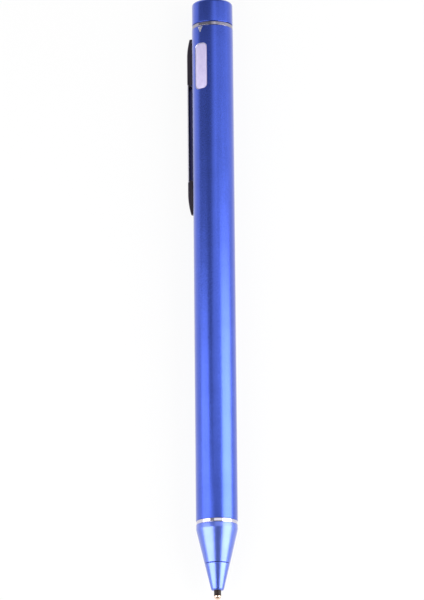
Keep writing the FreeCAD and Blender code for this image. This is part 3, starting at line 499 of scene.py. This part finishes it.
# %% Outline, spin and finish
CORNER_STEPS = 6
SPIN_STEPS = 144
MERGE = 0.0002        # in millimetres
SHARP_DEGREES = 35    # edges that turn more than this stay sharp to the eye


def round_corner(bm, vert, radius):
    """Turns a corner of a wire outline into an arc of that radius."""
    first, second = [(edge.other_vert(vert).co - vert.co).normalized() for edge in vert.link_edges]
    from_corner = radius / math.tan(first.angle(second) / 2)
    bmesh.ops.bevel(bm, geom=[vert], offset=from_corner, offset_type="OFFSET", segments=CORNER_STEPS,
                    profile=0.5, affect="VERTICES", material=-1)


def tidied(bm):
    """Merges doubled points and turns every face outwards."""
    bmesh.ops.remove_doubles(bm, verts=bm.verts, dist=MERGE)
    bmesh.ops.recalc_face_normals(bm, faces=bm.faces)
    return bm


def spun(outline, closed=True, steps=SPIN_STEPS):
    """Spins an outline of (radius, station, corner radius) about the pen's axis."""
    bm = bmesh.new()
    verts = [bm.verts.new(ON_AXIS + Vector((radius, station, 0))) for radius, station, _ in outline]
    for pair in zip(verts, verts[1:] + verts[:1] if closed else verts[1:]):
        bm.edges.new(pair)
    for vert, (_, _, corner) in zip(verts, outline):
        if corner:
            round_corner(bm, vert, corner)
    bmesh.ops.spin(bm, geom=bm.verts[:] + bm.edges[:], cent=ON_AXIS, axis=AXIS, angle=2 * math.pi,
                   steps=steps, use_merge=True)
    return tidied(bm)


def finished(name, bm, body, slot, replaced=(), sharp_degrees=SHARP_DEGREES):
    """Turns a bmesh in millimetres into a shown piece: smooth, riding on its body."""
    bmesh.ops.scale(bm, vec=(MM, MM, MM), verts=bm.verts)
    mesh = bpy.data.meshes.new(name)
    bm.to_mesh(mesh)
    bm.free()
    mesh.materials.append(MATERIALS[slot])
    mesh.shade_smooth()
    mesh.set_sharp_from_angle(angle=math.radians(sharp_degrees))
    piece = bpy.data.objects.new(name, mesh)
    bpy.context.scene.collection.objects.link(piece)
    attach(piece, body)
    if replaced:
        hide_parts(*replaced)
    print(name, "faces", len(mesh.polygons))
    return piece


print("spin helpers ready")

# %% [markdown]
# ## The cap and the two rings
#
# The cap is a thin cup with a generous round at its top edge. The upper ring is a narrow band whose two
# sides slope down, which leaves a thin dark line between it and each neighbour, and it takes a darker copy
# of the ring metal, which is painted shade. The lower ring is flat with broken edges. All three keep the
# outer size of the nodes that they stand for.

# %% Cap and rings
MICRO = 0.03
BROKEN_EDGE = 0.08
CAP_ROUND = 0.7
CAP_WALL = 0.35
CAP_ROOF = 0.6
SPIGOT_RADIUS = 3.85
RING_CROWN = 0.12
RING_SLOPE = 0.15
RING_ROUND = 0.04
BARREL_WALL = 0.5
BORE_RADIUS = BARREL_RADIUS - BARREL_WALL

cap_radius = widest("end_cap")
finished("end_cap_shell", spun([
    (0, CAP_REAR - CAP_ROOF, 0), (cap_radius - CAP_WALL, CAP_REAR - CAP_ROOF, 0),
    (cap_radius - CAP_WALL, CAP_FRONT, MICRO), (cap_radius, CAP_FRONT, BROKEN_EDGE),
    (cap_radius, CAP_REAR, CAP_ROUND), (0, CAP_REAR, 0)], closed=False), "cap", "satin_blue", ["end_cap"])

ring_radius = widest("upper_ring")
upper_ring = finished("upper_ring_band", spun([
    (SPIGOT_RADIUS, BARREL_REAR, 0), (ring_radius - RING_CROWN, BARREL_REAR, 0),
    (ring_radius, BARREL_REAR + RING_SLOPE, RING_ROUND), (ring_radius, RING_REAR - RING_SLOPE, RING_ROUND),
    (ring_radius - RING_CROWN, RING_REAR, 0), (SPIGOT_RADIUS, RING_REAR, 0)]),
    "pen", "bright_ring", ["upper_ring"])
# The upper ring's darker metal is painted shade.
upper_ring.data.materials[0] = SHADE_DARKENED_RING

lower_radius = widest("lower_ring")
finished("lower_ring_band", spun([
    (BORE_RADIUS, RIM_END, 0), (lower_radius, RIM_END, BROKEN_EDGE),
    (lower_radius, BARREL_FRONT, BROKEN_EDGE), (BORE_RADIUS, BARREL_FRONT, 0)]),
    "pen", "bright_ring", ["lower_ring"])

# %% [markdown]
# ## The cone in two parts
#
# The cone is turned in two pieces that meet at a thin dark seam. The front one screws off, so the user can
# change the nib, and its nose is rounded to the touch. The rear one ends in a short straight rim, and a
# spigot behind it, which is glued into the barrel.

# %% Cone
TIP_FACE_RADIUS = 1.45
TIP_NOSE_ROUND = 0.6
TIP_EDGE_ROUND = 0.42
TIP_BORE = 1.5
FLANGE_LENGTH = 0.6                  # of the nib's sleeve, which the tip's shoulder holds
RIM_LENGTH = 1.1
RIM_STEP = 0.05
RIM_ROUND = 0.12
HOLE_RADIUS = 0.77
SEAM_ROUND = 0.11
CONE_BORES = (1.92, 2.47, 3.43)      # from the seam back
CONE_STEPS = (6.0, 1.8)              # the bores' steps, ahead of the rim's end
SPIGOT_CLEARANCE = 0.02

rim_radius = lower_radius + RIM_STEP
cone_end = RIM_END - RIM_LENGTH
cone_slope = (rim_radius - TIP_FACE_RADIUS) / (cone_end - TIP_FRONT - TIP_NOSE_ROUND)


def cone_radius(station):
    """The cone's outer radius at a station."""
    return TIP_FACE_RADIUS + cone_slope * (station - TIP_FRONT - TIP_NOSE_ROUND)


flange_front = SLEEVE_REAR - FLANGE_LENGTH
finished("nose_tip_shell", spun([
    (HOLE_RADIUS, TIP_FRONT, MICRO), (cone_radius(TIP_FRONT), TIP_FRONT, TIP_EDGE_ROUND),
    (cone_radius(TIP_REAR), TIP_REAR, SEAM_ROUND), (TIP_BORE, TIP_REAR, MICRO),
    (TIP_BORE, flange_front, 0), (HOLE_RADIUS, flange_front, 0)]), "tip", "bright_blue", ["nose_tip"])

small_bore, middle_bore, wide_bore = CONE_BORES
front_step, rear_step = [RIM_END - setback for setback in CONE_STEPS]
spigot = BORE_RADIUS - SPIGOT_CLEARANCE
finished("nose_cone_shell", spun([
    (small_bore, CONE_FRONT, MICRO), (cone_radius(CONE_FRONT), CONE_FRONT, SEAM_ROUND),
    (rim_radius, cone_end, RIM_ROUND), (rim_radius, RIM_END, BROKEN_EDGE), (spigot, RIM_END, 0),
    (spigot, CONE_REAR, 0), (wide_bore, CONE_REAR, 0), (wide_bore, rear_step, 0),
    (middle_bore, rear_step, 0), (middle_bore, front_step, 0), (small_bore, front_step, 0)]),
    "pen", "bright_blue", ["nose_cone"])

# %% [markdown]
# ## The nib in its sleeve
#
# The nib is a small copper dome on a thin shank, and the sleeve insulates it from the cone. Both are
# only a millimetre and a half across, so they are spun with the same care as the large pieces.

# %% Nib and sleeve
SHANK_RADIUS = 0.4
SHANK_GAP = 0.02
NIB_HEAD_RADIUS = 0.9
NIB_RADIUS = 0.75
NIB_DOME_ROUND = 0.74
NIB_EDGE_ROUND = 0.015
FLANGE_RADIUS = 1.4

finished("nib_point", spun([
    (0, NIB_TIP, 0), (NIB_RADIUS, NIB_TIP, NIB_DOME_ROUND), (NIB_RADIUS, SLEEVE_FRONT, NIB_EDGE_ROUND),
    (SHANK_RADIUS, SLEEVE_FRONT, 0), (SHANK_RADIUS, SLEEVE_REAR, 0),
    (NIB_HEAD_RADIUS, SLEEVE_REAR, MICRO), (NIB_HEAD_RADIUS, NIB_REAR, MICRO), (0, NIB_REAR, 0)],
    closed=False), "tip", "copper", ["nib"])
finished("nib_sleeve_tube", spun([
    (SHANK_RADIUS + SHANK_GAP, SLEEVE_FRONT, 0), (NIB_RADIUS, SLEEVE_FRONT, MICRO),
    (NIB_RADIUS, flange_front, 0), (FLANGE_RADIUS, flange_front, 0),
    (FLANGE_RADIUS, SLEEVE_REAR, MICRO), (SHANK_RADIUS + SHANK_GAP, SLEEVE_REAR, 0)]),
    "tip", "sleeve_black", ["nib_sleeve"])

# %% [markdown]
# ## The thread under the tip
#
# The front cone screws on to a brass insert, so that a worn nib can be changed. A thread is a ridge that
# climbs as it goes round, and spin makes that too: with a small step along the axis added to each step
# round it, an outline of one ridge sweeps out the whole helix.

# %% Brass insert and its thread
INSERT_BORE = 0.8
INSERT_RADIUS = 1.9
INSERT_FLANGE = 2.45
INSERT_FLANGE_LENGTH = 1.0
THREAD_GAP = 0.05
THREAD_DEPTH = 0.13
THREAD_PITCH = 0.35
THREAD_TURNS = 3
THREAD_STEPS = 48

insert_front, insert_rear = span("threaded_bushing")
thread_top = TIP_BORE - THREAD_GAP
thread_root = thread_top - THREAD_DEPTH
insert_shoulder = insert_rear - INSERT_FLANGE_LENGTH
finished("threaded_insert", spun([
    (INSERT_BORE, insert_front, MICRO), (thread_root, insert_front, MICRO), (thread_root, CONE_FRONT, 0),
    (INSERT_RADIUS, CONE_FRONT, MICRO), (INSERT_RADIUS, insert_shoulder, 0),
    (INSERT_FLANGE, insert_shoulder, 0), (INSERT_FLANGE, insert_rear, 0), (INSERT_BORE, insert_rear, 0)]),
    "pen", "brass", ["threaded_bushing"])

ridge = bmesh.new()
ridge_start = insert_front + MICRO
ridge_length = THREAD_PITCH - MICRO
ridge_foot = thread_root - MICRO
ridge_points = [(ridge_foot, 0), (thread_top, ridge_length / 2), (ridge_foot, ridge_length)]
ridge_verts = [ridge.verts.new(ON_AXIS + Vector((radius, ridge_start + along, 0)))
               for radius, along in ridge_points]
for pair in zip(ridge_verts, ridge_verts[1:] + ridge_verts[:1]):
    ridge.edges.new(pair)
climb = AXIS * THREAD_PITCH / THREAD_STEPS
bmesh.ops.spin(ridge, geom=ridge.verts[:] + ridge.edges[:], cent=ON_AXIS, axis=AXIS, dvec=climb,
               angle=2 * math.pi * THREAD_TURNS, steps=THREAD_STEPS * THREAD_TURNS)
bmesh.ops.holes_fill(ridge, edges=[edge for edge in ridge.edges if edge.is_boundary], sides=3)
finished("insert_thread", tidied(ridge), "pen", "brass")

# %% [markdown]
# ## Tools for carving
#
# The barrel is a drawn tube with a slot milled for the button and a smaller one for the clip's tab. A
# cutter for such a slot could be drawn in place, but its edge has to follow a round surface. It is simpler
# to draw it flat, raise it into a plate, and drape the plate over the barrel: each point keeps its height
# above the skin. The Boolean modifier then cuts it out of the tube.

# %% Flat cutters that drape over the barrel
CORNER_SEGMENTS = 10
DRAPE_STRIPES = 14


def facing(out):
    """The turn that lays X across, Y along the pen and Z outwards."""
    return Matrix((AXIS.cross(out), AXIS, out)).transposed()


def outline_corners(bm, width, length, corner):
    """A flat rounded rectangle: x across, y along."""
    bmesh.ops.create_grid(bm, x_segments=1, y_segments=1, size=0.5)
    bmesh.ops.scale(bm, vec=(width, length, 1), verts=bm.verts)
    bmesh.ops.bevel(bm, geom=bm.verts[:], offset=corner, offset_type="OFFSET", segments=CORNER_SEGMENTS,
                    profile=0.5, affect="VERTICES", material=-1)


def raise_sheet(bm, height, spread_by=0.0, width=1.0, length=1.0):
    """Extrudes a flat sheet into a plate, whose far side may be wider than the near one."""
    top = bmesh.ops.extrude_face_region(bm, geom=bm.faces[:])["geom"]
    verts = [item for item in top if isinstance(item, bmesh.types.BMVert)]
    bmesh.ops.translate(bm, vec=(0, 0, height), verts=verts)
    bmesh.ops.scale(bm, vec=(1 + 2 * spread_by / width, 1 + 2 * spread_by / length, 1), verts=verts)


def drape(bm, middle, out):
    """Lays flat work on the barrel: each point keeps its height above the barrel's skin."""
    half = max(abs(vert.co.x) for vert in bm.verts)
    for index in range(1, DRAPE_STRIPES):
        cut = Vector((half * (2 * index / DRAPE_STRIPES - 1), 0, 0))
        bmesh.ops.bisect_plane(bm, geom=bm.verts[:] + bm.edges[:] + bm.faces[:], plane_co=cut,
                               plane_no=(1, 0, 0))
    across = AXIS.cross(out)
    for vert in bm.verts:
        level = math.sqrt(BARREL_RADIUS ** 2 - vert.co.x ** 2) + vert.co.z
        vert.co = ON_AXIS + across * vert.co.x + AXIS * (middle + vert.co.y) + out * level


def as_object(bm):
    """A passing object, with two material slots, that holds a bmesh while modifiers work on it."""
    mesh = bpy.data.meshes.new("work")
    bm.to_mesh(mesh)
    bm.free()
    for _ in range(2):
        mesh.materials.append(None)
    work = bpy.data.objects.new("work", mesh)
    bpy.context.scene.collection.objects.link(work)
    return work


def carved(bm, cutters):
    """Cuts each cutter out of a piece with the Boolean modifier."""
    works = [as_object(item) for item in [bm, *cutters]]
    for cutter in works[1:]:
        cut = works[0].modifiers.new("cut", "BOOLEAN")
        cut.operation = "DIFFERENCE"
        cut.solver = "EXACT"
        cut.object = cutter
    seen = works[0].evaluated_get(bpy.context.evaluated_depsgraph_get())
    result = bmesh.new()
    result.from_mesh(seen.to_mesh())
    seen.to_mesh_clear()
    for work in works:
        bpy.data.objects.remove(work)
    return tidied(result)


print("carving tools ready")

# %% [markdown]
# ## Carving the barrel
#
# The tube is spun plain and then carved. The slot's edge is cut bright after anodising, at forty-five
# degrees. Its cutter is a flat plate whose sides flare, so that the bevel keeps one width all the way
# round. The plate's faces carry a second material, and the Boolean passes it on to the faces that it cuts,
# so that the bevel alone shows bare metal.

# %% Carved tube
BARREL_STEPS = 240
SLOT_LENGTH = 10.2
SLOT_WIDTH = 3.05
SLOT_CORNER = 1.0
SLOT_BEVEL = 0.06
SLOT_OVERLAP = 0.6    # of the slot's length, from its middle to the cuts that keep the tube's faces short
CUTTER_REACH = 1.0
CUTTER_LIFT = 0.05
FLARE_INSET = 0.02    # the flared plate starts inside the slot, so that their walls never coincide
TAB_WIDTH = 2.3
TAB_HEIGHT = 2.0
TAB_SETBACKS = (3.35, 1.05)

button_low, button_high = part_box("power_button")
slot_middle = (button_low.y + button_high.y) / 2 / MM

slot_cutter = bmesh.new()
outline_corners(slot_cutter, SLOT_WIDTH, SLOT_LENGTH, SLOT_CORNER)
raise_sheet(slot_cutter, BARREL_RADIUS + CUTTER_REACH)
bmesh.ops.transform(slot_cutter, verts=slot_cutter.verts,
                    matrix=Matrix.Translation(ON_AXIS + AXIS * slot_middle) @ facing(BUTTON_OUT).to_4x4())

flare_cutter = bmesh.new()
flare_width, flare_length = SLOT_WIDTH - 2 * FLARE_INSET, SLOT_LENGTH - 2 * FLARE_INSET
flare_height = FLARE_INSET + SLOT_BEVEL + CUTTER_LIFT
outline_corners(flare_cutter, flare_width, flare_length, SLOT_CORNER - FLARE_INSET)
bmesh.ops.translate(flare_cutter, vec=(0, 0, -FLARE_INSET - SLOT_BEVEL), verts=flare_cutter.verts)
raise_sheet(flare_cutter, flare_height, flare_height, flare_width, flare_length)
drape(flare_cutter, slot_middle, BUTTON_OUT)
for face in flare_cutter.faces:
    face.material_index = 1

tab_cutter = bmesh.new()
tab_length = TAB_SETBACKS[0] - TAB_SETBACKS[1]
tab_middle = CLIP_END - sum(TAB_SETBACKS) / 2
bmesh.ops.create_cube(tab_cutter, size=1.0)
bmesh.ops.scale(tab_cutter, vec=(TAB_WIDTH, tab_length, TAB_HEIGHT), verts=tab_cutter.verts)
tab_place = Matrix.Translation(ON_AXIS + AXIS * tab_middle + CLIP_OUT * BARREL_RADIUS)
bmesh.ops.transform(tab_cutter, verts=tab_cutter.verts, matrix=tab_place @ facing(CLIP_OUT).to_4x4())

tube = spun([
    (BORE_RADIUS, BARREL_FRONT, 0), (BARREL_RADIUS, BARREL_FRONT, BROKEN_EDGE),
    (BARREL_RADIUS, BARREL_REAR, BROKEN_EDGE), (BORE_RADIUS, BARREL_REAR, 0)], steps=BARREL_STEPS)
for share in (-SLOT_OVERLAP, 0, SLOT_OVERLAP):
    bmesh.ops.bisect_plane(tube, geom=tube.verts[:] + tube.edges[:] + tube.faces[:],
                           plane_co=AXIS * (slot_middle + share * SLOT_LENGTH), plane_no=AXIS)
for cutter in (slot_cutter, flare_cutter, tab_cutter):
    tidied(cutter)
barrel = finished("barrel_tube", carved(tube, [slot_cutter, flare_cutter, tab_cutter]), "pen",
                  "satin_blue", ["barrel"])
barrel.data.materials.append(BARE_EDGE_AND_HIGHLIGHT)
print("bright faces", sum(face.material_index == 1 for face in barrel.data.polygons))

# %% [markdown]
# ## Easing the milled pieces
#
# The clip and the button have the right shape in the frame, as loose flat triangles. Each is copied, its
# points are merged, and flat triangles are dissolved into whole faces. Then every sharp edge is eased
# with a narrow bevel, because plated and moulded edges always are a little round. The narrow sides of the
# clip's arm and the corners of its opening get bright bare metal, which is a painted highlight for the
# light that those edges catch.

# %% Clip and button
CLIP_ROOT_LENGTH = 10.2
CLIP_FOOT_LENGTH = 7.4
CLIP_HEIGHT = 1.25
CLIP_SHEET = 0.4
OPENING_MARGIN = 0.6
INNER_MARGIN = 0.1
EDGE_EASE = 0.05
WELD = 0.001
FLAT_DEGREES = 1
HARD_DEGREES = 28
EASED_DEGREES = 40
MOSTLY = 0.5          # shares of a face's normal that point along a direction
PARTLY = 0.2
HARDLY = 0.3
ROOT_FRONT = CLIP_END - CLIP_ROOT_LENGTH
FOOT_REAR = span("pocket_clip")[0] + CLIP_FOOT_LENGTH
HIGHLIGHT_FROM = BARREL_RADIUS + CLIP_HEIGHT - CLIP_SHEET - INNER_MARGIN      # out from the axis
CLIP_ACROSS = AXIS.cross(CLIP_OUT)


def arm_side_highlight(face):
    """True on the narrow sides of the arm, between root and foot, which take a painted highlight."""
    middle = face.calc_center_median() - ON_AXIS
    on_side = abs(face.normal.dot(CLIP_ACROSS)) > MOSTLY and face.normal.dot(CLIP_OUT) < MOSTLY
    return on_side and FOOT_REAR < middle.y < ROOT_FRONT and middle.dot(CLIP_OUT) > HIGHLIGHT_FROM


def opening_end_highlight(face):
    """True on the bevels at the two ends of the opening, which take a painted highlight."""
    middle = face.calc_center_median() - ON_AXIS
    near = min(abs(middle.y - FOOT_REAR), abs(middle.y - ROOT_FRONT)) < OPENING_MARGIN
    return near and abs(face.normal.dot(CLIP_ACROSS)) > PARTLY and face.normal.dot(CLIP_OUT) < HARDLY


def eased(name, node, splits=(), highlight_face=None, highlight_bevel=None):
    """A merged copy of a CAD node with its sharp edges eased, which then stands for the node."""
    bm = bmesh.new()
    bm.from_mesh(frame["nodes"][node].data)
    bmesh.ops.scale(bm, vec=(1 / MM, 1 / MM, 1 / MM), verts=bm.verts)
    bmesh.ops.remove_doubles(bm, verts=bm.verts, dist=WELD)
    for station in splits:
        bmesh.ops.bisect_plane(bm, geom=bm.verts[:] + bm.edges[:] + bm.faces[:],
                               plane_co=AXIS * station, plane_no=AXIS)
    for face in bm.faces:
        face.material_index = int(bool(highlight_face and highlight_face(face)))
    bmesh.ops.dissolve_limit(bm, angle_limit=math.radians(FLAT_DEGREES), verts=bm.verts, edges=bm.edges,
                             delimit={"MATERIAL"})
    sharp = [edge for edge in bm.edges
             if edge.is_manifold and edge.calc_face_angle() > math.radians(HARD_DEGREES)]
    bevels = bmesh.ops.bevel(bm, geom=sharp, offset=EDGE_EASE, offset_type="OFFSET", segments=2,
                             profile=0.5, affect="EDGES", clamp_overlap=True, material=-1)["faces"]
    bm.normal_update()
    for face in bevels:
        if highlight_bevel and highlight_bevel(face):
            face.material_index = 1
    body = frame["nodes"][node]["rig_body"]
    return finished(name, tidied(bm), body, SLOT_OF[node], [node], EASED_DEGREES)


# Bare metal on the arm's sides and at the opening's ends is a painted highlight.
clip = eased("pocket_clip_arm", "pocket_clip", (FOOT_REAR, ROOT_FRONT), arm_side_highlight, opening_end_highlight)
clip.data.materials.append(BARE_EDGE_AND_HIGHLIGHT)
print("painted highlight faces", sum(face.material_index == 1 for face in clip.data.polygons))
eased("button_window", "power_button")

# %% [markdown]
# ## The alignment mark
#
# A small pale triangle on the barrel, between the upper ring and the button, points to the nib. It is
# cut with a graver, which leaves bright metal. Here it is one thin plate, cut to shape while flat and
# then draped on the barrel, less than a hundredth of a millimetre proud.

# %% Engraved triangle
MARK_WIDTH = 1.3
MARK_LENGTH = 1.35
MARK_SETBACK = 0.15
MARK_RAISE = 0.008

mark_bm = bmesh.new()
bmesh.ops.create_circle(mark_bm, segments=3, radius=1.0, cap_ends=True)
bmesh.ops.rotate(mark_bm, matrix=Matrix.Rotation(math.pi, 3, "Z"), verts=mark_bm.verts)
plain_width = max(vert.co.x for vert in mark_bm.verts) - min(vert.co.x for vert in mark_bm.verts)
plain_length = max(vert.co.y for vert in mark_bm.verts) - min(vert.co.y for vert in mark_bm.verts)
mark_scale = (MARK_WIDTH / plain_width, MARK_LENGTH / plain_length, 1)
bmesh.ops.scale(mark_bm, vec=mark_scale, verts=mark_bm.verts)
raise_sheet(mark_bm, MARK_RAISE)
mark_top = max(vert.co.y for vert in mark_bm.verts)
drape(mark_bm, BARREL_REAR - MARK_SETBACK - mark_top, BUTTON_OUT)
mark = finished("index_mark", tidied(mark_bm), "pen", "satin_blue")
mark.data.materials.clear()
mark.data.materials.append(BARE_EDGE_AND_HIGHLIGHT)

# %% [markdown]
# ## The table
#
# The pen lies on a large white table, which takes its shadow. To the camera, and in reflections, most of
# the table's colour is plain white light, so that it stays white wherever the lamps fall off, and the rest
# is ordinary paint, which is what the shadow shows on.

# %% Table
FLOOR_SIZE = 6.0
FLOOR_PAINT = 0.86
WHITE_SHARE = 0.90


def seen_directly(graph):
    """One for rays from the camera, in reflections and through clear things, and zero for others."""
    kinds = ("Is Camera Ray", "Is Glossy Ray", "Is Transmission Ray")
    camera_ray, glossy_ray, clear_ray = [graph.node("ShaderNodeLightPath", output=kind) for kind in kinds]
    return camera_ray + glossy_ray + clear_ray


table_bm = bmesh.new()
bmesh.ops.create_grid(table_bm, x_segments=1, y_segments=1, size=FLOOR_SIZE / 2)
table_mesh = bpy.data.meshes.new("table")
table_bm.to_mesh(table_mesh)
table_bm.free()
table = bpy.data.objects.new("table", table_mesh)
bpy.context.scene.collection.objects.link(table)

table_paint = bpy.data.materials.new("table_paint")
paint = Graph(table_paint)
lit = paint.node("ShaderNodeBsdfDiffuse", inputs={"Color": (FLOOR_PAINT, FLOOR_PAINT, FLOOR_PAINT)})
white = paint.node("ShaderNodeEmission", inputs={"Strength": 1.0})
whiteness = WHITE_SHARE * seen_directly(paint)
mixed = paint.node("ShaderNodeMixShader", inputs={0: whiteness, 1: lit, 2: white})
paint.node("ShaderNodeOutputMaterial", inputs={"Surface": mixed})
table_mesh.materials.append(table_paint)
print("table", FLOOR_SIZE, "m across")

# %% [markdown]
# ## The room and the lamps
#
# Metal shows its surroundings, so the room matters as much as the lamps. It is white near the horizon,
# where the table meets the walls, and darker overhead, which gives the pen its deep blue middle. Two
# large soft boxes stand to the left and right of the nib's half, and dimmer ones hang over the cap's
# half, a little to the right. They make the long bands on the barrel and the twin stripes on the cone.
# Each box has a row: its lean from straight up toward +X in degrees, its ends along the pen in metres,
# its width in metres, and its radiance.

# %% Room and soft boxes
ROOM_LEVEL = 0.32
ROOM_STOPS = [(0.0, (1.0, 1.0, 1.0)), (0.03, (1.0, 1.0, 1.0)),
              (0.12, (ROOM_LEVEL, ROOM_LEVEL, ROOM_LEVEL)), (1.0, (ROOM_LEVEL, ROOM_LEVEL, ROOM_LEVEL))]
LAMP_DISTANCE = 0.3
SOFT_BOXES = {
    "left_front_box": (-53, -0.22, -0.05, 0.38, 4.2),
    "left_box": (-61, -0.02, 0.045, 0.26, 2.3),
    "right_box": (61, -0.22, 0.06, 0.31, 4.4),
    "top_front_box": (10.5, -0.018, 0.06, 0.29, 0.85),
    "top_middle_box": (15, 0.06, 0.12, 0.28, 0.62),
    "top_rear_box": (20, 0.12, 0.30, 0.28, 0.45),
    "right_rear_box": (66, 0.08, 0.30, 0.23, 0.55),
    "stripe_box": (13, 0.06, 0.30, 0.06, 0.40),
}

world = bpy.data.worlds.new("room")
bpy.context.scene.world = world
room = Graph(world)
direction = room.node("ShaderNodeTexCoord", output="Generated")
height = room.node("ShaderNodeSeparateXYZ", inputs={"Vector": direction}, output="Z")
walls = room.node("ShaderNodeValToRGB", {"stops": ROOM_STOPS}, {"Fac": height})
glow = room.node("ShaderNodeBackground", inputs={"Color": walls, "Strength": 1.0})
room.node("ShaderNodeOutputWorld", inputs={"Surface": glow})


def soft_box(name, lean_degrees, front, rear, width, radiance):
    """A rectangular lamp that faces the pen's axis."""
    lean = math.radians(lean_degrees)
    data = bpy.data.lights.new(name, "AREA")
    data.shape = "RECTANGLE"
    data.size = width
    data.size_y = rear - front
    data.energy = radiance * math.pi * width * (rear - front)
    lamp = bpy.data.objects.new(name, data)
    bpy.context.scene.collection.objects.link(lamp)
    outward = Vector((math.sin(lean), 0, math.cos(lean)))
    lamp.location = ON_AXIS * MM + outward * LAMP_DISTANCE + AXIS * ((front + rear) / 2)
    lamp.rotation_mode = "QUATERNION"
    lamp.rotation_quaternion = facing(outward).to_quaternion()
    print(name, "watts", round(data.energy, 2))


for name, row in SOFT_BOXES.items():
    soft_box(name, *row)
bpy.context.scene.view_settings.view_transform = "Standard"
